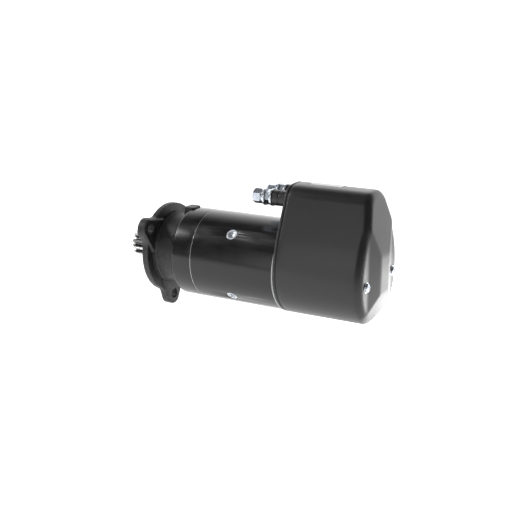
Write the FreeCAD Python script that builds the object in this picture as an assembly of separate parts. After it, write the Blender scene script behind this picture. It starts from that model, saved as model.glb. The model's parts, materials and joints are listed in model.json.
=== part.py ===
import FreeCAD, Part
import math
import os

V = FreeCAD.Vector
os.makedirs("parts", exist_ok=True)

# Heavy-duty starter motor with a coaxial sliding pinion. Millimetres.
# Origin: centre of the flange's mounting face, on the motor axis.
# +X runs back from the flange to the cover, +Z is up, and angles round the
# axis are counted from the -Y side towards +Z.

# Flange and drive-end housing
pilot_radius = 46.0
pilot_length = 10.0
flange_radius = 64.0
flange_thickness = 9.0
lug_count = 3
lug_first_angle = 33.5
lug_thickness = 12.5
lug_tip_radius = 15.2
lug_flank_angle = 22.0
bolt_circle = 140.0
bolt_hole_radius = 6.75
collar_step = 1.2
collar_length = 5.0
neck_radius = 50.5
neck_wall = 7.5
bell_lead = 18.0
bearing_plate_recess = 8.0
shoulder_length = 3.0
nose_wall_back = 10.0
housing_pad_length = 16.0
housing_pad_width = 20.0
housing_pad_rise = 2.0

# Yoke tube and poles
yoke_radius = 62.0
yoke_wall = 8.0
yoke_length = 126.5
pole_count = 4
pole_first_angle = 45.0
pole_length = 68.0
pole_half_angle = 20.0
pole_shoe_half_angle = 32.0
pole_shoe_thickness = 3.5
air_gap = 1.0
coil_half_angle = 36.0
coil_overhang = 8.0
pole_centre_ahead = 56.3
pole_screw_cover = 2.5
pole_screw_radius = 5.0
pole_screw_head_radius = 7.9
pole_screw_head_depth = 4.5
pole_screw_sink = 0.7
pole_screw_socket = 4.0

# Armature
armature_radius = 37.0
armature_length = 64.0
slot_count = 25
slot_width = 4.4
slot_depth = 12.0
shaft_radius = 14.0
front_journal_radius = 15.0
rear_journal_radius = 9.0
shaft_bore_radius = 4.0
winding_front_overhang = 12.0
winding_rear_overhang = 10.0
commutator_radius = 23.0
commutator_length = 21.0
commutator_slit = 0.8
commutator_slit_depth = 3.0

# Pinion, its shaft and the clutch
pinion_teeth = 11
pinion_module = 3.0
pinion_width = 37.0
pinion_gap = 5.5
pinion_shift = 0.3
pinion_travel = 22.0
pinion_spigot_radius = 9.0
pinion_shaft_radius = 13.0
shaft_end_gap = 1.5
spline_count = 8
spline_height = 2.0
spline_width = 4.0
spline_length = 18.0
clutch_hub_front = 14.0
clutch_hub_wall = 4.0
clutch_drum_radius = 38.0
clutch_drum_wall = 4.5
clutch_drum_front = 12.5
clutch_drum_floor = 8.0
clutch_plate_count = 9
clutch_plate_thickness = 2.6
clutch_plate_pitch = 3.4
bearing_outer_radius = 20.0
bearing_length = 14.0
seal_length = 4.0
bearing_plate_thickness = 10.0
clutch_drum_gap = 0.5
bearing_plate_bush_wall = 3.0

# Rear cover: a drawn pot with a round foot and a tall tapering head
cover_wall = 1.5
cover_step = 1.0
cover_length = 132.5
cover_side_radius = 124.0
cover_half_width_at_studs = 31.8
cover_height = 114.5
cover_crown_radius = 120.0
cover_corner_radius = 24.0
cover_edge_radius = 9.0
cover_lip = 3.6
cover_groove = 1.6
cover_groove_depth = 0.7
facet_half_width = 14.0
facet_top = 34.6
facet_bottom = -18.0
facet_side_end = 39.0
facet_side_drop = 8.0
facet_upper_slope = 0.18
facet_lower_slope = 0.37
gasket_thickness = 2.0
gasket_proud = 0.6
label_length = 44.0
label_width = 18.0
label_thickness = 0.15
label_from_mouth = 24.0
label_centre_y = 7.0

# End shield and brush gear
shield_thickness = 6.5
shield_spigot_length = 6.5
shield_rim_width = 10.0
shield_hub_radius = 20.0
shield_hub_length = 5.5
rear_bush_wall = 3.0
brush_plate_lap = 2.0
brush_plate_thickness = 3.0
brush_width = 14.0
brush_depth = 12.0
brush_length = 13.0
brush_box_wall = 1.5
brush_box_height = 19.0
brush_box_gap = 2.0
brush_leaf = 0.6
brush_spring_width = 8.0

# Solenoid and engaging rod
rod_radius = 3.5
rod_front = 20.0
solenoid_radius = 36.0
solenoid_wall = 4.0
solenoid_length = 75.0
solenoid_flange = 6.0
plunger_radius = 14.0
plunger_length = 38.0
core_length = 23.0
spring_pocket_radius = 9.0
spring_pocket_depth = 14.0
sleeve_wall = 0.95
tab_half_angle = 9.0
tab_length = 13.0
tab_thickness = 3.0
tab_screw_offset = 8.0

# Control relay
relay_drop = 17.4
relay_radius = 19.0
relay_wall = 2.0
relay_setback = 27.0
relay_length = 45.0
relay_stem_radius = 2.5
relay_plunger_radius = 6.0
relay_core_length = 15.0
contact_travel = 3.0
bridge_thickness = 3.0
bridge_overlap = 6.0
bridge_gap = 10.0

# Terminals
stud_spacing = 40.0
stud_below_top = 19.1
stud_radius = 6.0
stud_proud = 1.5
nut_across_flats = 18.0
nut_thickness = 12.0
thin_nut_thickness = 7.5
spring_washer_thickness = 3.5
plain_washer_thickness = 3.0
plain_washer_radius = 11.5
insulator_radius = 10.5
insulator_length = 20.0
insulator_neck_radius = 8.0
stud_head_radius = 8.0
stud_head_thickness = 2.9
block_thickness = 9.0
lead_width = 10.0
lead_thickness = 2.0
lead_below_yoke = 10.0
control_stud_radius = 3.0
control_stud_proud = 13.9
control_washer_thickness = 1.6
control_insulator_radius = 7.0
control_insulator_length = 10.0
control_nut_flats = 10.0
control_nut_thickness = 5.0

# Fasteners inside and on the cover
through_bolt_radius = 3.0
through_bolt_inset = 5.0
through_bolt_head = 5.5
small_screw_radius = 2.5
small_screw_head = 4.5
small_screw_head_height = 4.0
cover_screw_offset = 8.0
cover_screw_z = -1.0
cover_screw_radius = 3.0
cover_screw_head_radius = 5.8
cover_screw_head_height = 3.4
cover_washer_radius = 7.0
cover_washer_thickness = 0.8

# Clearances
running = 0.05
clear = 0.4
bolt_clear = 0.3
over = 1.0

# Sizes that follow from the ones above
collar_radius = neck_radius + collar_step
bore_radius = yoke_radius - yoke_wall
pole_face_radius = armature_radius + air_gap
pole_screw_end = pole_face_radius + pole_shoe_thickness + pole_screw_cover
spline_radius = pinion_shaft_radius + spline_height
clutch_hub_radius = spline_radius + clutch_hub_wall
cover_radius = yoke_radius + cover_step
gasket_radius = yoke_radius + gasket_proud
shield_rim_radius = bore_radius - shield_rim_width
brush_plate_radius = shield_rim_radius + brush_plate_lap
through_bolt_circle = bore_radius - through_bolt_inset
lead_height = bore_radius - lead_below_yoke
tab_reach = solenoid_radius + tab_length
tab_screw_circle = solenoid_radius + tab_screw_offset
cover_screw_y = solenoid_radius + cover_screw_offset
stud_height = cover_height - stud_below_top
cover_side_offset = cover_side_radius - cover_radius
flank_reach = math.hypot(cover_half_width_at_studs + cover_side_offset, stud_height)
flank_bearing = math.atan2(stud_height, cover_half_width_at_studs + cover_side_offset)
cover_flank_angle = math.degrees(flank_bearing - math.acos(cover_side_radius / flank_reach))
relay_height = stud_height - relay_drop
bridge_half_width = stud_spacing / 2 + bridge_overlap

# Stations along the axis
pinion_front = -(pilot_length + pinion_gap + pinion_width)
pinion_shaft_end = nose_wall_back + pinion_travel + spline_length
clutch_floor_x = pinion_shaft_end + shaft_end_gap
clutch_back = clutch_floor_x + clutch_drum_floor
plate_front = clutch_back + clutch_drum_gap
plate_back = plate_front + bearing_plate_thickness
neck_length = plate_front - bell_lead
joint_x = plate_back + bearing_plate_recess
yoke_end = joint_x + yoke_length
mouth_x = yoke_end + gasket_thickness
cover_end = mouth_x + cover_length
shield_back = mouth_x + shield_thickness
pole_middle = joint_x + pole_centre_ahead
core_front = pole_middle - armature_length / 2
core_back = pole_middle + armature_length / 2
commutator_back = yoke_end - 5.5
commutator_front = commutator_back - commutator_length
brush_plate_back = mouth_x - shield_spigot_length
brush_plate_front = brush_plate_back - brush_plate_thickness
brush_middle = brush_plate_front - brush_box_wall - brush_depth / 2
shaft_back = shield_back + 1.0
solenoid_back = shield_back + solenoid_length
core_back_face = shield_back + core_length
plunger_front = core_back_face + pinion_travel
plunger_back = plunger_front + plunger_length
relay_front = shield_back + relay_setback
bridge_front = relay_front - bridge_gap
stud_back = bridge_front - contact_travel - 0.1


def cyl(x0, x1, radius, y=0.0, z=0.0):
    # solid cylinder along X
    return Part.makeCylinder(radius, x1 - x0, V(x0, y, z), V(1, 0, 0))


def ring(x0, x1, outer, inner, y=0.0, z=0.0):
    # tube along X
    return cyl(x0, x1, outer, y, z).cut(cyl(x0 - over, x1 + over, inner, y, z))


def box(x0, x1, y0, y1, z0, z1):
    return Part.makeBox(x1 - x0, y1 - y0, z1 - z0, V(x0, y0, z0))


def turned(profile):
    # solid of revolution about the motor axis from (x, radius) points
    points = [V(x, 0, r) for x, r in profile]
    wire = Part.makePolygon(points + [points[0]])
    return Part.Face(wire).revolve(V(0, 0, 0), V(1, 0, 0), 360)


def place(shape, angle):
    # turns a shape made at the top (+Z) round to its angle
    copy = shape.copy()
    copy.rotate(V(0, 0, 0), V(1, 0, 0), 90.0 - angle)
    return copy


def angles(count, first):
    return [first + 360.0 * i / count for i in range(count)]


def sector(x0, x1, inner, outer, half_angle):
    # ring segment centred on the top
    points = [V(x0, 0, inner), V(x1, 0, inner), V(x1, 0, outer), V(x0, 0, outer)]
    face = Part.Face(Part.makePolygon(points + [points[0]]))
    face.rotate(V(0, 0, 0), V(1, 0, 0), -half_angle)
    return face.revolve(V(0, 0, 0), V(1, 0, 0), 2 * half_angle)


def hexagon(x0, x1, across_flats, y, z):
    radius = across_flats / math.sqrt(3.0)
    points = []
    for i in range(6):
        a = math.radians(60.0 * i)
        points.append(V(x0, y + radius * math.cos(a), z + radius * math.sin(a)))
    prism = Part.Face(Part.makePolygon(points + [points[0]])).extrude(V(x1 - x0, 0, 0))
    # corners turned off at about 30 degrees on both faces
    inner = across_flats / 2
    slope = (radius - inner) * 0.55
    points = [(x0, 0), (x0, inner), (x0 + slope, radius), (x1 - slope, radius), (x1, inner), (x1, 0)]
    turned_blank = turned(points)
    turned_blank.translate(V(0, y, z))
    return prism.common(turned_blank)


def coil_spring(x0, x1, mean_radius, wire_radius, turns):
    # round-wire helix along X whose end turns stay inside x0..x1
    start = x0 + wire_radius
    pitch = (x1 - x0 - 2 * wire_radius) / turns
    helix = Part.makeHelix(pitch, pitch * turns, mean_radius)
    profile = Part.Wire(Part.makeCircle(wire_radius, V(mean_radius, 0, 0), V(0, 1, 0)))
    spring = Part.Wire(helix.Edges).makePipeShell([profile], True, True)
    spring.rotate(V(0, 0, 0), V(0, 1, 0), 90)
    spring.translate(V(start, 0, 0))
    return spring


def gather(shapes):
    return Part.makeCompound(shapes)


def save(name, shape):
    shape.exportStep("parts/" + name + ".step")


# ---- drive end --------------------------------------------------------------

def lug_pad():
    # pad at the top: a tip arc round the hole and two straight flanks that
    # widen inwards until they run into the neck
    centre = bolt_circle / 2
    a = math.radians(lug_flank_angle)
    tangent_z = centre + lug_tip_radius * math.sin(a)
    tangent_y = lug_tip_radius * math.cos(a)
    base_z = neck_radius - neck_wall / 2
    base_y = tangent_y + (tangent_z - base_z) * math.tan(a)
    left = Part.LineSegment(V(0, -base_y, base_z), V(0, -tangent_y, tangent_z)).toShape()
    tip = Part.Arc(V(0, -tangent_y, tangent_z), V(0, 0, centre + lug_tip_radius),
                   V(0, tangent_y, tangent_z)).toShape()
    right = Part.LineSegment(V(0, tangent_y, tangent_z), V(0, base_y, base_z)).toShape()
    foot = Part.LineSegment(V(0, base_y, base_z), V(0, -base_y, base_z)).toShape()
    pad = Part.Face(Part.Wire([left, tip, right, foot])).extrude(V(lug_thickness, 0, 0))
    rims = [e for e in pad.Edges if e.BoundBox.XLength < 0.01 and e.BoundBox.ZMin > base_z - 0.01
            and e.BoundBox.ZLength > 0.01]
    return pad.makeFillet(1.5, [e for e in rims if e.BoundBox.XMin > lug_thickness - 0.01])


def drive_end_housing():
    cavity = neck_radius - neck_wall
    bell_bore = bore_radius + 1.0
    outer = turned([
        (-pilot_length, 0), (-pilot_length, pilot_radius - 1.0), (-pilot_length + 1.0, pilot_radius),
        (0, pilot_radius), (0, flange_radius), (flange_thickness - 1.0, flange_radius),
        (flange_thickness, flange_radius - 1.0), (flange_thickness, collar_radius),
        (flange_thickness + collar_length, collar_radius),
        (flange_thickness + collar_length + 1.2, neck_radius),
        (neck_length, neck_radius), (neck_length + shoulder_length, yoke_radius - 3.0),
        (neck_length + 2 * shoulder_length, yoke_radius), (joint_x - 0.6, yoke_radius),
        (joint_x, yoke_radius - 0.6), (joint_x, 0)])
    pad_x = neck_length - 6.0
    pad = box(pad_x, pad_x + housing_pad_length, -housing_pad_width / 2, housing_pad_width / 2,
              neck_radius - neck_wall / 2, yoke_radius + housing_pad_rise)
    tall = [e for e in pad.Edges if e.BoundBox.ZLength > over]
    housing = outer.fuse(pad.makeFillet(4.0, tall))
    for angle in angles(lug_count, lug_first_angle):
        housing = housing.fuse(place(lug_pad(), angle))
    hole = cyl(-over, lug_thickness + over, bolt_hole_radius, 0, bolt_circle / 2)
    for angle in angles(lug_count, lug_first_angle):
        housing = housing.cut(place(hole, angle))
    hollow = turned([
        (-pilot_length - over, 0), (-pilot_length - over, bearing_outer_radius),
        (nose_wall_back - 2.0, bearing_outer_radius), (nose_wall_back - 2.0, spline_radius + clear),
        (nose_wall_back, spline_radius + clear), (nose_wall_back, cavity),
        (plate_front, cavity), (plate_front, bell_bore), (joint_x + over, bell_bore),
        (joint_x + over, 0)])
    housing = housing.cut(hollow)
    for angle in (90.0, 270.0):
        bolt = cyl(plate_front - 8.0, plate_front + over, through_bolt_radius, 0, through_bolt_circle)
        housing = housing.cut(place(bolt, angle))
    return housing.removeSplitter()


def pinion_gear():
    # involute teeth with a small positive shift, tips bevelled at the front
    pitch_r = pinion_module * pinion_teeth / 2
    base_r = pitch_r * math.cos(math.radians(20))
    root_r = pitch_r - 1.25 * pinion_module + pinion_shift * pinion_module
    tip_r = pitch_r + pinion_module
    half = (math.pi / 2 + 2 * pinion_shift * math.tan(math.radians(20))) / pinion_teeth
    inv20 = math.tan(math.radians(20)) - math.radians(20)

    def half_angle(r):
        if r <= base_r:
            return half + inv20
        roll = math.acos(base_r / r)
        return half + inv20 - (math.tan(roll) - roll)

    radii = [root_r] + [base_r + (tip_r - base_r) * i / 6 for i in range(1, 7)]
    points = []
    for tooth in range(pinion_teeth):
        middle = 2 * math.pi * tooth / pinion_teeth
        for r in radii:
            points.append((r, middle - half_angle(r)))
        for r in reversed(radii):
            points.append((r, middle + half_angle(r)))
    corners = [V(pinion_front, r * math.cos(a), r * math.sin(a)) for r, a in points]
    blank = Part.Face(Part.makePolygon(corners + [corners[0]])).extrude(V(pinion_width, 0, 0))
    back = pinion_front + pinion_width
    envelope = turned([(pinion_front, 0), (pinion_front, tip_r - 2.2), (pinion_front + 3.0, tip_r),
                       (back - 0.6, tip_r), (back, tip_r - 0.6), (back, 0)])
    bore = cyl(pinion_front - over, back + over, pinion_spigot_radius)
    return blank.common(envelope).cut(bore)


def spline_keys(radius, width, x0, x1):
    keys = []
    for angle in angles(spline_count, 0.0):
        keys.append(place(box(x0, x1, -width / 2, width / 2, 0, radius), angle))
    return gather(keys)


def pinion_shaft():
    gear_back = pinion_front + pinion_width
    shaft = turned([
        (pinion_front, 0), (pinion_front, pinion_spigot_radius - 0.8),
        (pinion_front + 0.8, pinion_spigot_radius), (gear_back, pinion_spigot_radius),
        (gear_back, pinion_shaft_radius), (pinion_shaft_end, pinion_shaft_radius),
        (pinion_shaft_end, 0)])
    keys = spline_keys(spline_radius, spline_width, pinion_shaft_end - spline_length, pinion_shaft_end)
    bore = cyl(rod_front, pinion_shaft_end + over, rod_radius + running)
    return shaft.fuse(keys.Solids).removeSplitter().cut(bore)


def clutch_hub():
    back = clutch_floor_x - clear
    hub = cyl(clutch_hub_front, back, clutch_hub_radius)
    hub = hub.cut(cyl(clutch_hub_front - over, back + over, pinion_shaft_radius + running))
    grooves = spline_keys(spline_radius + bolt_clear, spline_width + 2 * bolt_clear,
                          clutch_hub_front - over, back + over)
    return hub.cut(grooves.Solids)


def clutch_drum():
    drum = cyl(clutch_drum_front, clutch_back, clutch_drum_radius)
    pocket = cyl(clutch_drum_front - over, clutch_floor_x, clutch_drum_radius - clutch_drum_wall)
    spigot = cyl(clutch_drum_front - over, clutch_back + over, front_journal_radius - 4.0)
    return drum.cut(pocket).cut(spigot)


def clutch_plates():
    plates = []
    first = clutch_hub_front + 5.0
    for i in range(clutch_plate_count):
        x0 = first + i * clutch_plate_pitch
        inner = clutch_hub_radius + (clear if i % 2 else 0.0)
        outer = clutch_drum_radius - clutch_drum_wall - (0.0 if i % 2 else clear)
        plates.append(ring(x0, x0 + clutch_plate_thickness, outer, inner))
    return gather(plates)


def clutch_retaining_ring():
    inside = clutch_drum_radius - clutch_drum_wall
    return ring(clutch_hub_front, clutch_hub_front + 3.0, inside, clutch_hub_radius + clear)


def bearing_plate():
    plate = ring(plate_front, plate_back, bore_radius + 1.0,
                 front_journal_radius + running + bearing_plate_bush_wall)
    for angle in (90.0, 270.0):
        hole = cyl(plate_front - over, plate_back + over, through_bolt_radius + bolt_clear, 0,
                   through_bolt_circle)
        plate = plate.cut(place(hole, angle))
    return plate


# ---- yoke and armature ------------------------------------------------------

def radial_cylinder(radius, inner, outer, x):
    # cylinder standing on the axis, pointing up
    return Part.makeCylinder(radius, outer - inner, V(x, 0, inner), V(0, 0, 1))


def pole_screw_cutter():
    top = yoke_radius - pole_screw_sink
    cone = Part.makeCone(pole_screw_radius, pole_screw_head_radius, pole_screw_head_depth,
                         V(pole_middle, 0, top - pole_screw_head_depth), V(0, 0, 1))
    mouth = radial_cylinder(pole_screw_head_radius, top, yoke_radius + over, pole_middle)
    shank = radial_cylinder(pole_screw_radius, pole_screw_end, top, pole_middle)
    return cone.fuse(mouth).fuse(shank)


def pole_screw():
    top = yoke_radius - pole_screw_sink
    head = Part.makeCone(pole_screw_radius, pole_screw_head_radius, pole_screw_head_depth,
                         V(pole_middle, 0, top - pole_screw_head_depth), V(0, 0, 1))
    shank = radial_cylinder(pole_screw_radius, pole_screw_end, top - over, pole_middle)
    socket = radial_cylinder(pole_screw_socket, top - 3.2, top + over, pole_middle)
    return head.fuse(shank).removeSplitter().cut(socket)


def yoke_tube():
    tube = turned([
        (joint_x, bore_radius), (joint_x, yoke_radius - 0.6), (joint_x + 0.6, yoke_radius),
        (yoke_end - 0.6, yoke_radius), (yoke_end, yoke_radius - 0.6), (yoke_end, bore_radius)])
    for angle in angles(pole_count, pole_first_angle):
        tube = tube.cut(place(pole_screw_cutter(), angle))
    return tube


def pole_shoe():
    x0 = pole_middle - pole_length / 2
    x1 = pole_middle + pole_length / 2
    inner = pole_face_radius
    step = inner + pole_shoe_thickness
    body = sector(x0, x1, step - over, bore_radius, pole_half_angle)
    shoe = sector(x0, x1, inner, step, pole_shoe_half_angle)
    return body.fuse(shoe).removeSplitter().cut(pole_screw_cutter())


def field_coil():
    x0 = pole_middle - pole_length / 2
    x1 = pole_middle + pole_length / 2
    inner = pole_face_radius + pole_shoe_thickness
    coil = sector(x0 - coil_overhang, x1 + coil_overhang, inner + clear, bore_radius - clear,
                  coil_half_angle)
    core = sector(x0, x1, inner - over, bore_radius + over, pole_half_angle)
    return coil.cut(core)


def armature_shaft():
    spigot = front_journal_radius - 4.0
    return turned([
        (clutch_floor_x, shaft_bore_radius), (clutch_floor_x, spigot),
        (clutch_back, spigot), (clutch_back, front_journal_radius),
        (plate_back + 2.0, front_journal_radius), (plate_back + 2.0, shaft_radius),
        (brush_plate_back, shaft_radius), (brush_plate_back, rear_journal_radius),
        (shaft_back, rear_journal_radius), (shaft_back, shaft_bore_radius)])


def slot_bars(width, depth, x0, x1):
    bars = []
    for angle in angles(slot_count, 90.0):
        bars.append(place(box(x0, x1, -width / 2, width / 2, armature_radius - depth,
                              armature_radius - 0.6), angle))
    return bars


def armature_core():
    core = ring(core_front, core_back, armature_radius, shaft_radius)
    slots = []
    for angle in angles(slot_count, 90.0):
        slots.append(place(box(core_front - over, core_back + over, -slot_width / 2, slot_width / 2,
                               armature_radius - slot_depth, armature_radius + over), angle))
    return core.cut(slots)


def armature_winding():
    outer = armature_radius - 1.5
    front = ring(core_front - winding_front_overhang, core_front, outer, shaft_radius)
    rear = ring(core_back, core_back + winding_rear_overhang, outer, shaft_radius)
    bars = slot_bars(slot_width, slot_depth, core_front - over, core_back + over)
    return front.fuse([rear] + bars).removeSplitter()


def commutator():
    drum = ring(commutator_front, commutator_back, commutator_radius, shaft_radius)
    riser = ring(core_back + winding_rear_overhang, commutator_front, commutator_radius + 3.0,
                 shaft_radius)
    slits = []
    for angle in angles(slot_count, 90.0):
        slits.append(place(box(commutator_front, commutator_back + over, -commutator_slit / 2,
                               commutator_slit / 2, commutator_radius - commutator_slit_depth,
                               commutator_radius + over), angle))
    return drum.cut(slits).fuse(riser)


# ---- end shield and brush gear ----------------------------------------------

def cover_outline(x, inset=0.0):
    # half the section: round foot, large side arc, straight flank, corner arc
    # and crown, then the same mirrored in Y
    a = math.radians(cover_flank_angle)
    side_centre_y = cover_side_radius - cover_radius
    rise = cover_side_radius * math.sin(a)
    flank_y = side_centre_y - cover_side_radius * math.cos(a)
    crown_z = cover_height - cover_crown_radius
    start_y = flank_y + cover_corner_radius * math.cos(a)
    start_z = rise - cover_corner_radius * math.sin(a) - crown_z
    reach = cover_crown_radius - cover_corner_radius
    half_b = start_y * math.sin(a) + start_z * math.cos(a)
    gap = start_y ** 2 + start_z ** 2 - reach ** 2
    along = -half_b + math.sqrt(half_b ** 2 - gap)
    corner_y = start_y + along * math.sin(a)
    corner_z = start_z + along * math.cos(a) + crown_z
    r_side = cover_side_radius - inset
    r_corner = cover_corner_radius - inset
    r_crown = cover_crown_radius - inset
    lean = math.atan2(corner_z - crown_z, corner_y)

    def on(cy, cz, radius, angle):
        return V(x, cy + radius * math.cos(angle), cz + radius * math.sin(angle))

    side0 = on(side_centre_y, 0, r_side, math.pi)
    side1 = on(side_centre_y, 0, r_side, math.pi - a / 2)
    side2 = on(side_centre_y, 0, r_side, math.pi - a)
    corner0 = on(corner_y, corner_z, r_corner, math.pi - a)
    corner1 = on(corner_y, corner_z, r_corner, (math.pi - a + lean) / 2)
    corner2 = on(corner_y, corner_z, r_corner, lean)
    crown = V(x, 0, crown_z + r_crown)
    foot = V(x, 0, -(cover_radius - inset))

    def mirrored(p):
        return V(p.x, -p.y, p.z)

    edges = [
        Part.Arc(side0, side1, side2).toShape(),
        Part.LineSegment(side2, corner0).toShape(),
        Part.Arc(corner0, corner1, corner2).toShape(),
        Part.Arc(corner2, crown, mirrored(corner2)).toShape(),
        Part.Arc(mirrored(corner2), mirrored(corner1), mirrored(corner0)).toShape(),
        Part.LineSegment(mirrored(corner0), mirrored(side2)).toShape(),
        Part.Arc(mirrored(side2), mirrored(side1), mirrored(side0)).toShape(),
        Part.Arc(mirrored(side0), foot, side0).toShape()]
    return Part.Wire(edges)


def outline_block(x0, x1, inset=0.0):
    return Part.Face(cover_outline(x0, inset)).extrude(V(x1 - x0, 0, 0))


def shield_openings():
    # everything that passes through the end shield
    cutters = []
    for side in (-1, 1):
        cutters.append(cyl(mouth_x - over, shield_back + over, insulator_neck_radius,
                           side * stud_spacing / 2, stud_height))
        cutters.append(cyl(mouth_x + over, shield_back + over, cover_screw_radius,
                           side * cover_screw_y, cover_screw_z))
    cutters.append(cyl(mouth_x - over, shield_back + over, control_stud_radius + 1.5, 0, stud_height))
    for angle in (90.0, 270.0):
        cutters.append(place(cyl(brush_plate_back - over, shield_back + over,
                                 through_bolt_radius + bolt_clear, 0, through_bolt_circle), angle))
    for angle in angles(4, 45.0):
        cutters.append(place(cyl(mouth_x + 1.5, shield_back + over, small_screw_radius, 0,
                                 tab_screw_circle), angle))
    lead_y = -stud_spacing / 2
    cutters.append(box(brush_plate_back - over, shield_back + over, lead_y - lead_width / 2 - 0.5,
                       lead_y + lead_width / 2 + 0.5, lead_height - 0.5,
                       lead_height + lead_thickness + 0.5))
    return cutters


def end_shield():
    plate = outline_block(mouth_x, shield_back, cover_wall)
    spigot = ring(brush_plate_back, mouth_x, bore_radius, shield_rim_radius)
    hub = cyl(mouth_x - shield_hub_length, mouth_x, shield_hub_radius)
    shield = plate.fuse([spigot, hub]).removeSplitter()
    bush_seat = cyl(mouth_x - shield_hub_length - over, shield_back + over,
                    rear_journal_radius + running + rear_bush_wall)
    return shield.cut([bush_seat] + shield_openings())


def brush_plate():
    plate = ring(brush_plate_front, brush_plate_back, brush_plate_radius, commutator_radius + 3.0)
    for angle in (90.0, 270.0):
        hole = cyl(brush_plate_front - over, brush_plate_back + over,
                   through_bolt_radius + bolt_clear, 0, through_bolt_circle)
        plate = plate.cut(place(hole, angle))
    return plate


def brush_box():
    x = brush_middle
    half_w = brush_width / 2
    half_d = brush_depth / 2
    low = commutator_radius + brush_box_gap
    high = low + brush_box_height
    shell = box(x - half_d - brush_box_wall, x + half_d + brush_box_wall,
                -half_w - brush_box_wall, half_w + brush_box_wall, low, high)
    inside = box(x - half_d - 0.1, x + half_d + 0.1, -half_w - 0.1, half_w + 0.1,
                 low - over, high - brush_box_wall)
    return shell.cut(inside)


def brush():
    x = brush_middle
    block = box(x - brush_depth / 2, x + brush_depth / 2, -brush_width / 2, brush_width / 2,
                commutator_radius - 3.0, commutator_radius + brush_length)
    return block.cut(cyl(x - brush_depth, x + brush_depth, commutator_radius + running))


def brush_spring():
    low = commutator_radius + brush_length
    high = commutator_radius + brush_box_gap + brush_box_height - brush_box_wall
    # folded leaf between the brush and the box's cap
    half = brush_depth / 2 - 1.0
    y = -brush_spring_width / 2
    x = brush_middle
    points = [V(x - half, y, low), V(x - half, y, low + brush_leaf), V(x, y, high),
              V(x + half, y, low + brush_leaf), V(x + half, y, low), V(x, y, high - brush_leaf)]
    leaf = Part.Face(Part.makePolygon(points + [points[0]])).extrude(V(0, brush_spring_width, 0))
    return leaf


def through_bolt():
    shank = cyl(plate_front - 8.0, shield_back + over, through_bolt_radius, 0, through_bolt_circle)
    head = hexagon(shield_back, shield_back + 4.0, 2 * through_bolt_head * 0.9, 0, through_bolt_circle)
    return shank.fuse(head)


# ---- rear cover -------------------------------------------------------------

def cover_facets(block, back):
    # flat facets that shape the rear: a middle face, two side facets that step
    # down to the edge strips, an upper and a lower facet
    far = cover_height + cover_radius
    for side in (-1, 1):
        points = [V(back, side * facet_half_width, -far),
                  V(back - facet_side_drop, side * facet_side_end, -far),
                  V(back - facet_side_drop, side * far, -far),
                  V(back + over, side * far, -far),
                  V(back + over, side * facet_half_width, -far)]
        wedge = Part.Face(Part.makePolygon(points + [points[0]])).extrude(V(0, 0, 2 * far))
        block = block.cut(wedge)
    upper = [V(back, -far, facet_top), V(back - facet_upper_slope * far, -far, facet_top + far),
             V(back + over, -far, facet_top + far), V(back + over, -far, facet_top)]
    block = block.cut(Part.Face(Part.makePolygon(upper + [upper[0]])).extrude(V(0, 2 * far, 0)))
    lower = [V(back, -far, facet_bottom), V(back - facet_lower_slope * far, -far, facet_bottom - far),
             V(back + over, -far, facet_bottom - far), V(back + over, -far, facet_bottom)]
    return block.cut(Part.Face(Part.makePolygon(lower + [lower[0]])).extrude(V(0, 2 * far, 0)))


def rounded_block(x0, back, inset):
    # the section carried back, then drawn in round a quarter circle to the rear
    edge = cover_edge_radius
    edge_end = back - facet_side_drop
    bend = edge_end - edge
    block = outline_block(x0, bend, inset)
    steps = 5
    for i in range(steps):
        a0 = math.pi / 2 * i / steps
        a1 = math.pi / 2 * (i + 1) / steps
        wire0 = cover_outline(bend + edge * math.sin(a0), inset + edge * (1 - math.cos(a0)))
        wire1 = cover_outline(bend + edge * math.sin(a1), inset + edge * (1 - math.cos(a1)))
        block = block.fuse(Part.makeLoft([wire0, wire1], True, True))
    return block.fuse(outline_block(edge_end, back, inset + edge))


def cover():
    body_x = mouth_x + cover_lip + cover_groove
    outside = cover_facets(rounded_block(body_x, cover_end, 0.0), cover_end)
    lip = outline_block(mouth_x, mouth_x + cover_lip)
    groove = outline_block(mouth_x + cover_lip, body_x, cover_groove_depth)
    outside = outside.fuse([lip, groove])
    inside = cover_facets(rounded_block(mouth_x - over, cover_end - cover_wall, cover_wall),
                          cover_end - cover_wall)
    shell = outside.cut(inside)
    for side in (-1, 1):
        y = side * cover_screw_y
        shell = shell.cut(cyl(shield_back, cover_end + over, cover_screw_radius + bolt_clear, y,
                              cover_screw_z))
        shell = shell.cut(cyl(cover_screw_seat(), cover_end + over, cover_washer_radius + clear, y,
                              cover_screw_z))
    return shell.removeSplitter()


def cover_gasket():
    return ring(yoke_end, mouth_x, gasket_radius, bore_radius)


def cover_screw_seat():
    return cover_end - facet_side_drop


def cover_screw(side):
    seat = cover_screw_seat() + cover_washer_thickness
    y = side * cover_screw_y
    shank = cyl(mouth_x + 1.5, seat + over, cover_screw_radius, y, cover_screw_z)
    head = cyl(seat, seat + cover_screw_head_height, cover_screw_head_radius, y, cover_screw_z)
    top = [e for e in head.Edges if e.BoundBox.XMin > seat + 1.0 and e.BoundBox.XLength < 0.01]
    head = head.makeFillet(1.6, top)
    reach = cover_screw_head_radius * 0.62
    depth = seat + cover_screw_head_height / 2
    slot = box(depth, seat + cover_screw_head_height + over, y - reach, y + reach,
               cover_screw_z - 0.7, cover_screw_z + 0.7)
    cross = box(depth, seat + cover_screw_head_height + over, y - 0.7, y + 0.7,
                cover_screw_z - reach, cover_screw_z + reach)
    return head.fuse(shank).cut([slot, cross])


def cover_screw_washer(side):
    seat = cover_screw_seat()
    return ring(seat, seat + cover_washer_thickness, cover_washer_radius,
                cover_screw_radius + bolt_clear, side * cover_screw_y, cover_screw_z)


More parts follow.
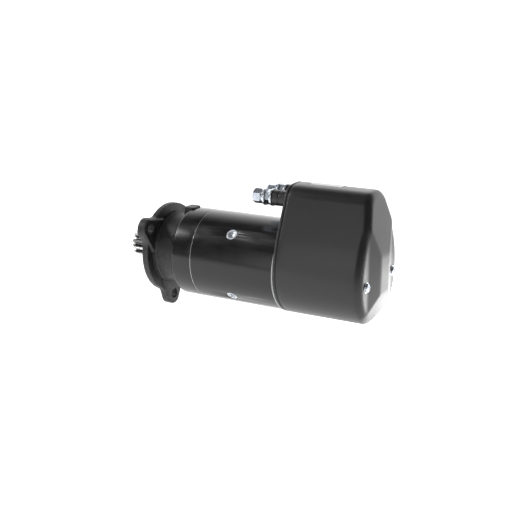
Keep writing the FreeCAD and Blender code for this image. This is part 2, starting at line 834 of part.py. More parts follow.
def label():
    # a thin plate bent over the crown
    crown_z = cover_height - cover_crown_radius
    x0 = mouth_x + label_from_mouth
    plate = ring(x0, x0 + label_length, cover_crown_radius + label_thickness, cover_crown_radius,
                 0, crown_z)
    y0 = label_centre_y - label_width / 2
    window = box(x0, x0 + label_length, y0, y0 + label_width, crown_z, cover_height + over)
    return plate.common(window)


# ---- solenoid and relay -----------------------------------------------------

def solenoid_case():
    tube = ring(shield_back, solenoid_back, solenoid_radius, solenoid_radius - solenoid_wall)
    floor = ring(solenoid_back - solenoid_flange, solenoid_back, solenoid_radius - solenoid_wall / 2,
                 plunger_radius + running + sleeve_wall)
    case = tube.fuse(floor)
    for angle in angles(4, 45.0):
        tab = sector(shield_back, shield_back + tab_thickness, solenoid_radius - solenoid_wall / 2,
                     tab_reach, tab_half_angle)
        hole = cyl(shield_back - over, shield_back + tab_thickness + over, small_screw_radius, 0,
                   tab_screw_circle)
        case = case.fuse(place(tab, angle)).cut(place(hole, angle))
    return case.removeSplitter()


def solenoid_screw():
    seat = shield_back + tab_thickness
    shank = cyl(mouth_x + 1.5, seat + over, small_screw_radius, 0, tab_screw_circle)
    head = cyl(seat, seat + small_screw_head_height, small_screw_head, 0, tab_screw_circle)
    return shank.fuse(head)


def solenoid_core():
    flange = cyl(shield_back, shield_back + solenoid_flange, solenoid_radius - solenoid_wall)
    core = cyl(shield_back, core_back_face, plunger_radius + running)
    bore = cyl(shield_back - over, core_back_face + over, rod_radius + running)
    relief = cyl(shield_back - over, shield_back + 3.0, rear_journal_radius + clear)
    return flange.fuse(core).removeSplitter().cut([bore, relief])


def solenoid_coil():
    return ring(shield_back + solenoid_flange, solenoid_back - solenoid_flange,
                solenoid_radius - solenoid_wall - clear, plunger_radius + running + sleeve_wall)


def guide_sleeve():
    return ring(shield_back + solenoid_flange, solenoid_back,
                plunger_radius + running + sleeve_wall, plunger_radius + running)


def solenoid_plunger():
    plunger = cyl(plunger_front, plunger_back, plunger_radius)
    pocket = cyl(plunger_front - over, plunger_front + spring_pocket_depth, spring_pocket_radius)
    bore = cyl(plunger_front - over, plunger_back - 4.0, rod_radius)
    return plunger.cut([pocket, bore])


def return_spring():
    return coil_spring(core_back_face, plunger_front + spring_pocket_depth, 6.4, 0.8, 8)


def relay_case():
    back = relay_front + relay_length
    tube = ring(relay_front, back, relay_radius, relay_radius - relay_wall, 0, relay_height)
    front = ring(relay_front, relay_front + relay_wall, relay_radius - 1.0,
                 relay_stem_radius + 3.5, 0, relay_height)
    floor = cyl(back - relay_wall, back, relay_radius - 1.0, 0, relay_height)
    return tube.fuse([front, floor]).removeSplitter()


def relay_coil():
    return ring(relay_front + relay_wall, relay_front + relay_length - relay_wall - clear,
                relay_radius - relay_wall - clear, relay_plunger_radius + running, 0, relay_height)


def relay_core():
    return ring(relay_front, relay_front + relay_core_length, relay_plunger_radius,
                relay_stem_radius + running, 0, relay_height)


def relay_plunger():
    front = relay_front + relay_core_length + contact_travel + bolt_clear
    plunger = cyl(front, front + 18.0, relay_plunger_radius, 0, relay_height)
    pocket = cyl(front - over, front + 8.0, 5.0, 0, relay_height)
    bore = cyl(front - over, front + 14.0, relay_stem_radius, 0, relay_height)
    return plunger.cut([pocket, bore])


def relay_spring():
    front = relay_front + relay_core_length
    spring = coil_spring(front, front + contact_travel + bolt_clear + 8.0, 3.9, 0.45, 5)
    spring.translate(V(0, 0, relay_height))
    return spring


def contact_bridge():
    back = bridge_front + bridge_thickness
    bar = box(bridge_front, back, -bridge_half_width, bridge_half_width, stud_height - 6.0,
              stud_height + 6.0)
    web = box(bridge_front, back, -6.0, 6.0, relay_height - 6.0, stud_height)
    stem = cyl(back - over, relay_front + relay_core_length + contact_travel + bolt_clear + 14.0,
               relay_stem_radius, 0, relay_height)
    return bar.fuse([web, stem]).removeSplitter()


def relay_bracket():
    low = relay_height - relay_radius - 3.5
    shelf = box(shield_back, relay_front + relay_length, -10.0, 10.0, low, low + 6.0)
    foot = box(shield_back, shield_back + 3.0, -10.0, 10.0, low, low + 9.0)
    inside = cyl(relay_front, relay_front + relay_length + over, relay_radius, 0, relay_height)
    return shelf.fuse(foot).removeSplitter().cut(inside)


# ---- terminals --------------------------------------------------------------

def terminal_block():
    block = outline_block(shield_back, shield_back + block_thickness, cover_wall + 0.5)
    room = box(shield_back, shield_back + block_thickness, -cover_radius, cover_radius,
               relay_height, cover_height)
    block = block.common(room)
    for y in (-stud_spacing / 2, stud_spacing / 2):
        block = block.cut(cyl(shield_back - over, shield_back + block_thickness + over,
                              stud_radius, y, stud_height))
    return block.cut(cyl(shield_back - over, shield_back + block_thickness + over,
                         control_stud_radius, 0, stud_height))


def at_studs(make):
    return gather([make(y) for y in (-stud_spacing / 2, stud_spacing / 2)])


def stack_stations():
    # stack on each stud, counted forward from the insulator's front face
    insulator_front = mouth_x - insulator_length
    washer_front = insulator_front - plain_washer_thickness
    thin_front = washer_front - thin_nut_thickness
    plain_front = thin_front - plain_washer_thickness
    spring_front = plain_front - spring_washer_thickness
    return insulator_front, washer_front, thin_front, plain_front, spring_front


def terminal_stud(y):
    head_front = stud_back - stud_head_thickness
    stud_tip = stack_stations()[4] - nut_thickness - stud_proud
    stud = cyl(stud_tip + 1.0, head_front + 0.5, stud_radius, y, stud_height)
    tip = Part.makeCone(stud_radius - 1.0, stud_radius, 1.0, V(stud_tip, y, stud_height), V(1, 0, 0))
    head = cyl(head_front, stud_back, stud_head_radius, y, stud_height)
    return stud.fuse([tip, head]).removeSplitter()


def terminal_insulator(y):
    front = stack_stations()[0]
    body = cyl(front, mouth_x, insulator_radius, y, stud_height)
    neck = cyl(mouth_x - over, shield_back, insulator_neck_radius, y, stud_height)
    bore = cyl(front - over, shield_back + over, stud_radius, y, stud_height)
    return body.fuse(neck).removeSplitter().cut(bore)


def terminal_nut(y):
    spring_front = stack_stations()[4]
    nut = hexagon(spring_front - nut_thickness, spring_front, nut_across_flats, y, stud_height)
    return nut.cut(cyl(spring_front - nut_thickness - over, spring_front + over, stud_radius, y,
                       stud_height))


def terminal_thin_nut(y):
    thin_front = stack_stations()[2]
    nut = hexagon(thin_front, thin_front + thin_nut_thickness, nut_across_flats, y, stud_height)
    return nut.cut(cyl(thin_front - over, thin_front + thin_nut_thickness + over, stud_radius, y,
                       stud_height))


def terminal_washers(y):
    insulator_front, washer_front, thin_front, plain_front, spring_front = stack_stations()
    inner = ring(washer_front, insulator_front, plain_washer_radius, stud_radius, y, stud_height)
    outer = ring(plain_front, thin_front, plain_washer_radius, stud_radius, y, stud_height)
    return gather([inner, outer])


def terminal_spring_washer(y):
    spring_front = stack_stations()[4]
    washer = ring(spring_front, spring_front + spring_washer_thickness, nut_across_flats / 2,
                  stud_radius, y, stud_height)
    split = box(spring_front - over, spring_front + spring_washer_thickness + over, y - 0.6, y + 0.6,
                stud_height, stud_height + nut_across_flats)
    return washer.cut(split)


def motor_lead():
    back = stud_back - stud_head_thickness
    y0 = -stud_spacing / 2 - lead_width / 2
    strip = box(back - lead_thickness, back, y0, y0 + lead_width, lead_height, stud_height)
    eye = cyl(back - lead_thickness, back, stud_head_radius, -stud_spacing / 2, stud_height)
    coil_back = pole_middle + pole_length / 2 + coil_overhang
    leg = box(coil_back, back, y0, y0 + lead_width, lead_height, lead_height + lead_thickness)
    hole = cyl(back - lead_thickness - over, back + over, stud_radius, -stud_spacing / 2, stud_height)
    return strip.fuse([eye, leg]).removeSplitter().cut(hole)


def control_stations():
    # insulator, washer and nut front faces
    insulator_front = mouth_x - control_insulator_length
    washer_front = insulator_front - control_washer_thickness
    return insulator_front, washer_front, washer_front - control_nut_thickness


def control_stud():
    tip_x = control_stations()[2] - control_stud_proud
    stud = cyl(tip_x + 0.6, shield_back + block_thickness, control_stud_radius, 0, stud_height)
    tip = Part.makeCone(control_stud_radius - 0.6, control_stud_radius, 0.6, V(tip_x, 0, stud_height),
                        V(1, 0, 0))
    return stud.fuse(tip).removeSplitter()


def control_insulator():
    front = mouth_x - control_insulator_length
    body = cyl(front, mouth_x, control_insulator_radius, 0, stud_height)
    neck = cyl(mouth_x - over, shield_back, control_stud_radius + 1.5, 0, stud_height)
    return body.fuse(neck).removeSplitter().cut(
        cyl(front - over, shield_back + over, control_stud_radius, 0, stud_height))


def control_washer():
    insulator_front, washer_front, nut_front = control_stations()
    return ring(washer_front, insulator_front, 6.0, control_stud_radius, 0, stud_height)


def control_nut():
    insulator_front, washer_front, nut_front = control_stations()
    return hexagon(nut_front, washer_front, control_nut_flats, 0, stud_height).cut(
        cyl(nut_front - over, washer_front + over, control_stud_radius, 0, stud_height))


def round_poles(shape):
    return gather([place(shape, angle) for angle in angles(pole_count, pole_first_angle)])


def two_sides(make):
    return gather([make(-1), make(1)])


bearing_front = -pilot_length + seal_length
bearing_back = bearing_front + bearing_length
bush_radius = front_journal_radius + running
rear_bush_radius = rear_journal_radius + running

save("drive_end_housing", drive_end_housing())
save("pinion_bearing", ring(bearing_front, bearing_back, bearing_outer_radius,
                            pinion_shaft_radius + running))
save("shaft_seal", ring(-pilot_length, bearing_front, bearing_outer_radius,
                        pinion_shaft_radius + bolt_clear))
save("pinion_gear", pinion_gear())
save("pinion_shaft", pinion_shaft())
save("clutch_hub", clutch_hub())
save("clutch_drum", clutch_drum())
save("clutch_plates", clutch_plates())
save("clutch_retaining_ring", clutch_retaining_ring())
save("bearing_plate", bearing_plate())
save("bearing_plate_bush", ring(plate_front, plate_back, bush_radius + bearing_plate_bush_wall,
                                bush_radius))
save("yoke_tube", yoke_tube())
save("pole_shoes", round_poles(pole_shoe()))
save("field_coils", round_poles(field_coil()))
save("pole_screws", round_poles(pole_screw()))
save("armature_shaft", armature_shaft())
save("armature_core", armature_core())
save("armature_winding", armature_winding())
save("commutator", commutator())
save("end_shield", end_shield())
save("rear_bush", ring(mouth_x - shield_hub_length, shield_back, rear_bush_radius + rear_bush_wall,
                       rear_bush_radius))
save("brush_plate", brush_plate())
save("brush_boxes", round_poles(brush_box()))
save("brushes", round_poles(brush()))
save("brush_springs", round_poles(brush_spring()))
save("through_bolts", gather([place(through_bolt(), angle) for angle in (90.0, 270.0)]))
save("cover_gasket", cover_gasket())
save("cover", cover())
save("cover_screws", two_sides(cover_screw))
save("cover_screw_washers", two_sides(cover_screw_washer))
save("label", label())
save("solenoid_case", solenoid_case())
save("solenoid_screws", gather([place(solenoid_screw(), angle) for angle in angles(4, 45.0)]))
save("solenoid_core", solenoid_core())
save("solenoid_coil", solenoid_coil())
save("guide_sleeve", guide_sleeve())
save("solenoid_plunger", solenoid_plunger())
save("engaging_rod", cyl(rod_front, plunger_back - 4.0, rod_radius))
save("return_spring", return_spring())
save("relay_bracket", relay_bracket())
save("relay_case", relay_case())
save("relay_coil", relay_coil())
save("relay_core", relay_core())
save("relay_plunger", relay_plunger())
save("relay_spring", relay_spring())
save("contact_bridge", contact_bridge())
save("terminal_block", terminal_block())
save("terminal_studs", at_studs(terminal_stud))
save("terminal_insulators", at_studs(terminal_insulator))
save("terminal_nuts", at_studs(terminal_nut))
save("terminal_thin_nuts", at_studs(terminal_thin_nut))
save("terminal_washers", at_studs(terminal_washers))
save("terminal_spring_washers", at_studs(terminal_spring_washer))
save("motor_lead", motor_lead())
save("control_stud", control_stud())
save("control_insulator", control_insulator())
save("control_washer", control_washer())
save("control_nut", control_nut())
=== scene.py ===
import bpy
import bmesh
import json
import math
import numpy as np
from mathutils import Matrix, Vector


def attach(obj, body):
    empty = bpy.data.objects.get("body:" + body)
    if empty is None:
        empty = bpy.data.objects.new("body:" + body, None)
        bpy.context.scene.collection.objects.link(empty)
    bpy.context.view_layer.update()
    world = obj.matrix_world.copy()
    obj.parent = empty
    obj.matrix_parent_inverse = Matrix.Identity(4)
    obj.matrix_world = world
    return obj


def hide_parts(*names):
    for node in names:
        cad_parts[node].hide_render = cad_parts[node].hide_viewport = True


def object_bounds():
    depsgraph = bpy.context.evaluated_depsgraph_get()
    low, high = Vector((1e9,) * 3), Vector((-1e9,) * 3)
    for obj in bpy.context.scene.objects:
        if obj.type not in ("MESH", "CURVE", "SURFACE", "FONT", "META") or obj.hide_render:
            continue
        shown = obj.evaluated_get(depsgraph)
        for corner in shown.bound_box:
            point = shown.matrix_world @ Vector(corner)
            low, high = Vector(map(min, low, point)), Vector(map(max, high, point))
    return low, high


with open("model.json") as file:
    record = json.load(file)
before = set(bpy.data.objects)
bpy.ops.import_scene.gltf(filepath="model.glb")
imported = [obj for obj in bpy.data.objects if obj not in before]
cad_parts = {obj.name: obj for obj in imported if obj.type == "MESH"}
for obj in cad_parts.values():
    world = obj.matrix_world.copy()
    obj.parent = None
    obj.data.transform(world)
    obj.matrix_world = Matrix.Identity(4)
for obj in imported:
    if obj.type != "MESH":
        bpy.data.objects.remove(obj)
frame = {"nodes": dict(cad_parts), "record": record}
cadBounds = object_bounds()
nodes = frame["nodes"]
mm = 0.001
print("frame loaded:", len(nodes), "nodes")


# material helpers: each takes a tree and returns a socket
def addNode(tree, kind, **inputs):
    node = tree.nodes.new(kind)
    for key, value in inputs.items():
        node.inputs[key.replace("_", " ")].default_value = value
    return node


def objectCoords(tree):
    return tree.nodes.new("ShaderNodeTexCoord").outputs["Object"]


def noise(tree, sizeMm, detail=3.0, rough=0.5, stretch=None):
    node = addNode(tree, "ShaderNodeTexNoise", Scale=1.0 / (sizeMm * mm), Detail=detail, Roughness=rough)
    coords = objectCoords(tree)
    if stretch:
        mapping = addNode(tree, "ShaderNodeMapping", Scale=stretch)
        tree.links.new(coords, mapping.inputs["Vector"])
        coords = mapping.outputs["Vector"]
    tree.links.new(coords, node.inputs["Vector"])
    return node.outputs["Fac"]


def cells(tree, sizeMm):
    node = addNode(tree, "ShaderNodeTexVoronoi", Scale=1.0 / (sizeMm * mm))
    tree.links.new(objectCoords(tree), node.inputs["Vector"])
    return node.outputs["Distance"]


def remap(tree, socket, low, high, toLow, toHigh):
    node = addNode(tree, "ShaderNodeMapRange")
    values = {"From Min": low, "From Max": high, "To Min": toLow, "To Max": toHigh}
    for key, value in values.items():
        node.inputs[key].default_value = value
    tree.links.new(socket, node.inputs["Value"])
    return node.outputs["Result"]


def blendColours(tree, factor, first, second):
    node = tree.nodes.new("ShaderNodeMix")
    node.data_type = "RGBA"
    tree.links.new(factor, node.inputs["Factor"])
    for value, index in ((first, 6), (second, 7)):
        if isinstance(value, tuple):
            node.inputs[index].default_value = (*value, 1.0)
        else:
            tree.links.new(value, node.inputs[index])
    return node.outputs[2]


def combine(tree, kind, first, second):
    node = tree.nodes.new("ShaderNodeMath")
    node.operation = kind
    for value, index in ((first, 0), (second, 1)):
        if isinstance(value, (int, float)):
            node.inputs[index].default_value = value
        else:
            tree.links.new(value, node.inputs[index])
    return node.outputs[0]


def edgeMask(tree):
    node = tree.nodes.new("ShaderNodeAttribute")
    node.attribute_name = "edge"
    return node.outputs["Fac"]


def bump(tree, height, depthMm, strength=1.0, below=None):
    node = addNode(tree, "ShaderNodeBump", Strength=strength, Distance=depthMm * mm)
    tree.links.new(height, node.inputs["Height"])
    if below is not None:
        tree.links.new(below, node.inputs["Normal"])
    return node.outputs["Normal"]


def startMaterial(name, metallic, **settings):
    material = bpy.data.materials.new(name)
    material.use_nodes = True
    shader = material.node_tree.nodes["Principled BSDF"]
    shader.inputs["Metallic"].default_value = metallic
    for key, value in settings.items():
        shader.inputs[key.replace("_", " ")].default_value = value
    return material, material.node_tree, shader


def addChips(tree, colour, values, low, high):
    # worn paint where the edge mask and a fine noise are both high
    patches = remap(tree, noise(tree, values["chipMm"], 4.0), low, high, 0.0, 1.0)
    return blendColours(tree, combine(tree, "MULTIPLY", edgeMask(tree), patches), colour, values["worn"])


def finishMaterial(tree, shader, colour, roughness, normal):
    tree.links.new(colour, shader.inputs["Base Color"])
    tree.links.new(roughness, shader.inputs["Roughness"])
    tree.links.new(normal, shader.inputs["Normal"])


paints = {
    "glossBlackPaint": {"base": (0.0048, 0.0048, 0.0052), "dust": (0.009, 0.009, 0.009),
        "worn": (0.050, 0.050, 0.052), "rough": (0.17, 0.27),
        "peelMm": 1.6, "peelDepthMm": 0.006},
    "satinBlackPaint": {"base": (0.0150, 0.0150, 0.0155), "dust": (0.021, 0.021, 0.021),
        "worn": (0.060, 0.060, 0.062), "rough": (0.30, 0.38),
        "peelMm": 0.9, "peelDepthMm": 0.007}}
# sizes of the patterns that both paints share
paintPatterns = {"smudgeMm": 34.0, "fineMm": 2.4, "chipMm": 5.0, "streakMm": 6.0, "waveMm": 26.0,
                 "waveDepthMm": 0.02}


def makePaint(name):
    # stoved black: faint orange peel, smudges in the gloss, thin paint on edges
    values = {**paints[name], **paintPatterns}
    material, tree, shader = startMaterial(name, 0.0, Specular_IOR_Level=0.5)
    smudge = noise(tree, values["smudgeMm"], 4.0, 0.6)
    fine = noise(tree, values["fineMm"], 5.0, 0.65)
    dusty = combine(tree, "MULTIPLY", remap(tree, smudge, 0.45, 0.75, 0.0, 0.8), fine)
    colour = blendColours(tree, dusty, values["base"], values["dust"])
    colour = addChips(tree, colour, values, 0.46, 0.62)
    streaks = noise(tree, values["streakMm"], 3.0, 0.5, (0.25, 1.0, 1.0))
    gloss = combine(tree, "ADD", combine(tree, "MULTIPLY", smudge, 0.6),
                    combine(tree, "MULTIPLY", streaks, 0.4))
    rough = remap(tree, gloss, 0.3, 0.7, *values["rough"])
    peel = bump(tree, noise(tree, values["peelMm"], 2.0), values["peelDepthMm"])
    wave = bump(tree, noise(tree, values["waveMm"], 1.0), values["waveDepthMm"], 1.0, peel)
    finishMaterial(tree, shader, colour, rough, wave)
    return material


cast = {"base": (0.0085, 0.0088, 0.0092), "pale": (0.022, 0.022, 0.023), "worn": (0.060, 0.058, 0.055),
        "mottleMm": 9.0, "chipMm": 3.0, "rough": (0.40, 0.60), "roughMm": 4.0,
        "grainMm": 0.9, "grainDepthMm": 0.10, "pitMm": 3.2, "pitDepthMm": 0.06,
        "swellMm": 14.0, "swellDepthMm": 0.25}


def makeCastPaint():
    # black paint over sand-cast iron: grain and small pits show through
    material, tree, shader = startMaterial("castBlackPaint", 0.0, Specular_IOR_Level=0.5)
    mottle = remap(tree, noise(tree, cast["mottleMm"], 5.0, 0.6), 0.45, 0.7, 0.0, 1.0)
    colour = blendColours(tree, mottle, cast["base"], cast["pale"])
    colour = addChips(tree, colour, cast, 0.45, 0.6)
    rough = remap(tree, noise(tree, cast["roughMm"], 4.0, 0.6), 0.3, 0.7, *cast["rough"])
    grain = bump(tree, noise(tree, cast["grainMm"], 4.0, 0.6), cast["grainDepthMm"])
    pits = remap(tree, cells(tree, cast["pitMm"]), 0.0, 0.35, 0.0, 1.0)
    pitted = bump(tree, pits, cast["pitDepthMm"], 0.6, grain)
    swell = bump(tree, noise(tree, cast["swellMm"], 2.0), cast["swellDepthMm"], 0.8, pitted)
    finishMaterial(tree, shader, colour, rough, swell)
    return material


metals = {
    "zincPlate": {"light": (0.62, 0.67, 0.74), "dark": (0.46, 0.50, 0.57), "worn": (0.84, 0.84, 0.83),
        "rough": (0.16, 0.28), "grainMm": 0.8, "depthMm": 0.005},
    "turnedSteel": {"light": (0.50, 0.50, 0.50), "dark": (0.30, 0.30, 0.31), "worn": (0.72, 0.71, 0.69),
        "rough": (0.24, 0.42), "grainMm": 0.4, "depthMm": 0.012},
    "gearSteel": {"light": (0.16, 0.16, 0.165), "dark": (0.05, 0.05, 0.055), "worn": (0.78, 0.77, 0.75),
        "rough": (0.26, 0.45), "grainMm": 0.6, "depthMm": 0.015},
    "castAluminium": {"light": (0.62, 0.63, 0.64), "dark": (0.45, 0.46, 0.47), "worn": (0.75, 0.75, 0.75),
        "rough": (0.40, 0.55), "grainMm": 0.9, "depthMm": 0.05},
    "drawnBrass": {"light": (0.78, 0.60, 0.30), "dark": (0.58, 0.42, 0.20), "worn": (0.86, 0.72, 0.42),
        "rough": (0.24, 0.40), "grainMm": 0.6, "depthMm": 0.010},
    "bareCopper": {"light": (0.78, 0.42, 0.27), "dark": (0.50, 0.25, 0.16), "worn": (0.90, 0.58, 0.42),
        "rough": (0.26, 0.44), "grainMm": 0.6, "depthMm": 0.012}}
metalPatterns = {"cloudMm": 4.5, "rubMm": 1.6, "roughMm": 1.8}


def makeMetal(name):
    # plated or turned metal: cloudy colour, fine grain, bright rubbed edges
    values = metals[name]
    material, tree, shader = startMaterial(name, 1.0)
    cloud = remap(tree, noise(tree, metalPatterns["cloudMm"], 4.0, 0.6), 0.35, 0.68, 0.0, 1.0)
    colour = blendColours(tree, cloud, values["dark"], values["light"])
    rubbed = remap(tree, noise(tree, metalPatterns["rubMm"], 3.0), 0.3, 0.6, 0.3, 1.0)
    colour = blendColours(tree, combine(tree, "MULTIPLY", edgeMask(tree), rubbed), colour, values["worn"])
    streaky = noise(tree, metalPatterns["roughMm"], 4.0, 0.65)
    rough = remap(tree, streaky, 0.3, 0.7, *values["rough"])
    grain = bump(tree, noise(tree, values["grainMm"], 3.0, 0.6), values["depthMm"])
    finishMaterial(tree, shader, colour, rough, grain)
    return material


moulded = {
    "blackMoulding": {"light": (0.020, 0.020, 0.021), "dark": (0.010, 0.010, 0.011), "rough": (0.30, 0.45),
        "grainMm": 0.8, "depthMm": 0.02},
    "windingTape": {"light": (0.42, 0.26, 0.13), "dark": (0.24, 0.13, 0.06), "rough": (0.35, 0.60),
        "grainMm": 1.4, "depthMm": 0.12},
    "pressedCarbon": {"light": (0.055, 0.055, 0.058), "dark": (0.030, 0.030, 0.032), "rough": (0.5, 0.7),
        "grainMm": 0.5, "depthMm": 0.03},
    "sealRubber": {"light": (0.028, 0.028, 0.028), "dark": (0.014, 0.014, 0.014), "rough": (0.55, 0.75),
        "grainMm": 0.9, "depthMm": 0.03},
    "fibreGasket": {"light": (0.52, 0.53, 0.53), "dark": (0.34, 0.35, 0.35), "rough": (0.60, 0.80),
        "grainMm": 0.7, "depthMm": 0.05},
    "labelFilm": {"light": (0.80, 0.81, 0.81), "dark": (0.70, 0.71, 0.71), "rough": (0.28, 0.42),
        "grainMm": 3.0, "depthMm": 0.010}}
mouldedRoughMm = 7.0


def makeMoulded(name):
    # plastic, rubber, fibre or film: speckled colour and a fine grain
    values = moulded[name]
    material, tree, shader = startMaterial(name, 0.0)
    speckle = noise(tree, values["grainMm"] * 2.5, 4.0, 0.65)
    colour = blendColours(tree, remap(tree, speckle, 0.35, 0.65, 0.0, 1.0), values["dark"], values["light"])
    rough = remap(tree, noise(tree, mouldedRoughMm, 4.0, 0.6), 0.3, 0.7, *values["rough"])
    grain = bump(tree, noise(tree, values["grainMm"], 4.0, 0.6), values["depthMm"])
    finishMaterial(tree, shader, colour, rough, grain)
    return material


finishes = {name: makePaint(name) for name in paints}
finishes["castBlackPaint"] = makeCastPaint()
for name in metals:
    finishes[name] = makeMetal(name)
for name in moulded:
    finishes[name] = makeMoulded(name)
slotFinish = {
    "cast_black": "castBlackPaint", "paint_black": "glossBlackPaint", "zinc": "zincPlate",
    "steel": "turnedSteel", "aluminium": "castAluminium", "brass": "drawnBrass", "copper": "bareCopper",
    "carbon": "pressedCarbon", "insulation_black": "blackMoulding", "insulation_tan": "windingTape",
    "rubber_black": "sealRubber", "gasket_grey": "fibreGasket", "label_white": "labelFilm"}
slotOfNode = {row["node"]: row["material_slot"] for row in frame["record"]["subparts"]}
for nodeName, node in nodes.items():
    node.data.materials.clear()
    node.data.materials.append(finishes[slotFinish[slotOfNode[nodeName]]])
print("materials made:", len(finishes))


def addObject(name, data):
    item = bpy.data.objects.new(name, data)
    bpy.context.scene.collection.objects.link(item)
    return item


# mesh helpers, in millimetres until the mesh is filled
def meshObject(name, points, faces, finish, edge=None, sharpAngle=40.0):
    # points and faces become a mesh whose volume is positive; edge is the wear mask
    points = np.asarray(points, float)
    mesh = bpy.data.meshes.new(name)
    mesh.from_pydata((points * mm).tolist(), [], faces)
    if edge is not None:
        mask = mesh.attributes.new("edge", "FLOAT", "POINT")
        mask.data.foreach_set("value", np.asarray(edge, float).ravel())
    work = bmesh.new()
    work.from_mesh(mesh)
    bmesh.ops.remove_doubles(work, verts=work.verts, dist=1e-7)
    bmesh.ops.dissolve_degenerate(work, dist=1e-7, edges=work.edges)
    if work.calc_volume(signed=True) < 0:
        bmesh.ops.reverse_faces(work, faces=work.faces)
    work.to_mesh(mesh)
    work.free()
    mesh.shade_smooth()
    mesh.set_sharp_from_angle(angle=math.radians(sharpAngle))
    mesh.materials.append(finishes[finish])
    return addObject(name, mesh)


def gridFaces(rows, columns, wrapRows=False, wrapColumns=True):
    # quads of a rows x columns grid of points, joined end to end where wrapped
    ids = np.arange(rows * columns).reshape(rows, columns)
    below = np.roll(ids, -1, axis=0)
    a, b = (ids, below) if wrapRows else (ids[:-1], below[:-1])
    if wrapColumns:
        quads = np.stack([a, b, np.roll(b, -1, axis=1), np.roll(a, -1, axis=1)], axis=-1)
    else:
        quads = np.stack([a[:, :-1], b[:, :-1], b[:, 1:], a[:, 1:]], axis=-1)
    return quads.reshape(-1, 4).tolist()


def pairUp(x, r):
    # numbers, or arrays over the angle, become (x, r) pairs
    return np.stack(np.broadcast_arrays(np.asarray(x, float), np.asarray(r, float)), axis=-1)


def roundedProfile(corners, steps=4):
    # corners are (x, r, cut): each corner becomes a quadratic curve between the
    # points that lie cut before it and cut after it; x and r may be arrays over
    # the angle, so the whole profile is worked out for every angle at once
    rows = []
    for i, (x, r, cut) in enumerate(corners):
        here = pairUp(x, r)
        if cut <= 0:
            rows.append(here)
            continue
        toBefore = pairUp(*corners[i - 1][:2]) - here
        toAfter = pairUp(*corners[(i + 1) % len(corners)][:2]) - here
        start = here + toBefore / np.linalg.norm(toBefore, axis=-1, keepdims=True) * cut
        end = here + toAfter / np.linalg.norm(toAfter, axis=-1, keepdims=True) * cut
        for t in np.linspace(0.0, 1.0, steps + 1):
            rows.append((1 - t) ** 2 * start + 2 * t * (1 - t) * here + t ** 2 * end)
    return rows


def turnedGrid(rows, theta, at=(0.0, 0.0)):
    # rows of (x, r) carried round an axis along X that passes through at:
    # y = r cos, z = r sin
    grid = np.zeros((len(rows), len(theta), 3))
    for i, row in enumerate(rows):
        grid[i, :, 0] = row[..., 0]
        grid[i, :, 1] = at[0] + row[..., 1] * np.cos(theta)
        grid[i, :, 2] = at[1] + row[..., 1] * np.sin(theta)
    return grid


def circleSteps(count):
    return np.arange(count) * 2 * math.pi / count


def cornerMask(rows, columns):
    # wear follows how sharply the profile turns, rows x columns
    line = np.stack([np.broadcast_to(row, (columns, 2)) for row in rows])
    ahead = np.roll(line, -1, axis=0) - line
    behind = line - np.roll(line, 1, axis=0)
    turn = ahead[..., 0] * behind[..., 1] - ahead[..., 1] * behind[..., 0]
    size = np.linalg.norm(ahead, axis=-1) * np.linalg.norm(behind, axis=-1) + 1e-9
    return np.clip(np.abs(turn / size) * 2.2, 0.0, 1.0)


def gridPiece(name, grid, finish, edge=None, sharpAngle=40.0):
    # a grid of points that closes on itself both ways
    faces = gridFaces(grid.shape[0], grid.shape[1], True)
    return meshObject(name, grid.reshape(-1, 3), faces, finish, edge, sharpAngle)


def turnedPiece(name, corners, finish, count=96, at=(0.0, 0.0)):
    # a closed profile of (x, r, cut) corners turned about an axis along X
    rows = roundedProfile(corners)
    return gridPiece(name, turnedGrid(rows, circleSteps(count), at), finish, cornerMask(rows, count))


def joinPieces(name, parts):
    # several made pieces become one object, as one kind of part made more than once
    bpy.ops.object.select_all(action="DESELECT")
    for part in parts:
        part.select_set(True)
    bpy.context.view_layer.objects.active = parts[0]
    bpy.ops.object.join()
    parts[0].name = name
    parts[0].data.name = name
    return parts[0]


def stand(piece, body, *replaced):
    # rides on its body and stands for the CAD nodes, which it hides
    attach(piece, body)
    if replaced:
        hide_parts(*replaced)


def standJoined(nodeName, parts):
    # the made parts of one CAD node, as one piece of the housing
    stand(joinPieces(nodeName + "_skin", parts), "housing", nodeName)


def cutWith(piece, cutter):
    # exact boolean difference, applied at once
    step = piece.modifiers.new("cut", "BOOLEAN")
    step.operation = "DIFFERENCE"
    step.solver = "EXACT"
    step.object = cutter
    bpy.context.view_layer.objects.active = piece
    bpy.ops.object.modifier_apply(modifier="cut")
    bpy.data.objects.remove(cutter)


def resharpen(piece, sharpAngle):
    piece.data.shade_smooth()
    piece.data.set_sharp_from_angle(angle=math.radians(sharpAngle))


copies = {"mergeDistance": 2e-6, "flatAngle": 0.4, "sharpAngle": 32.0, "bevelSegments": 2}


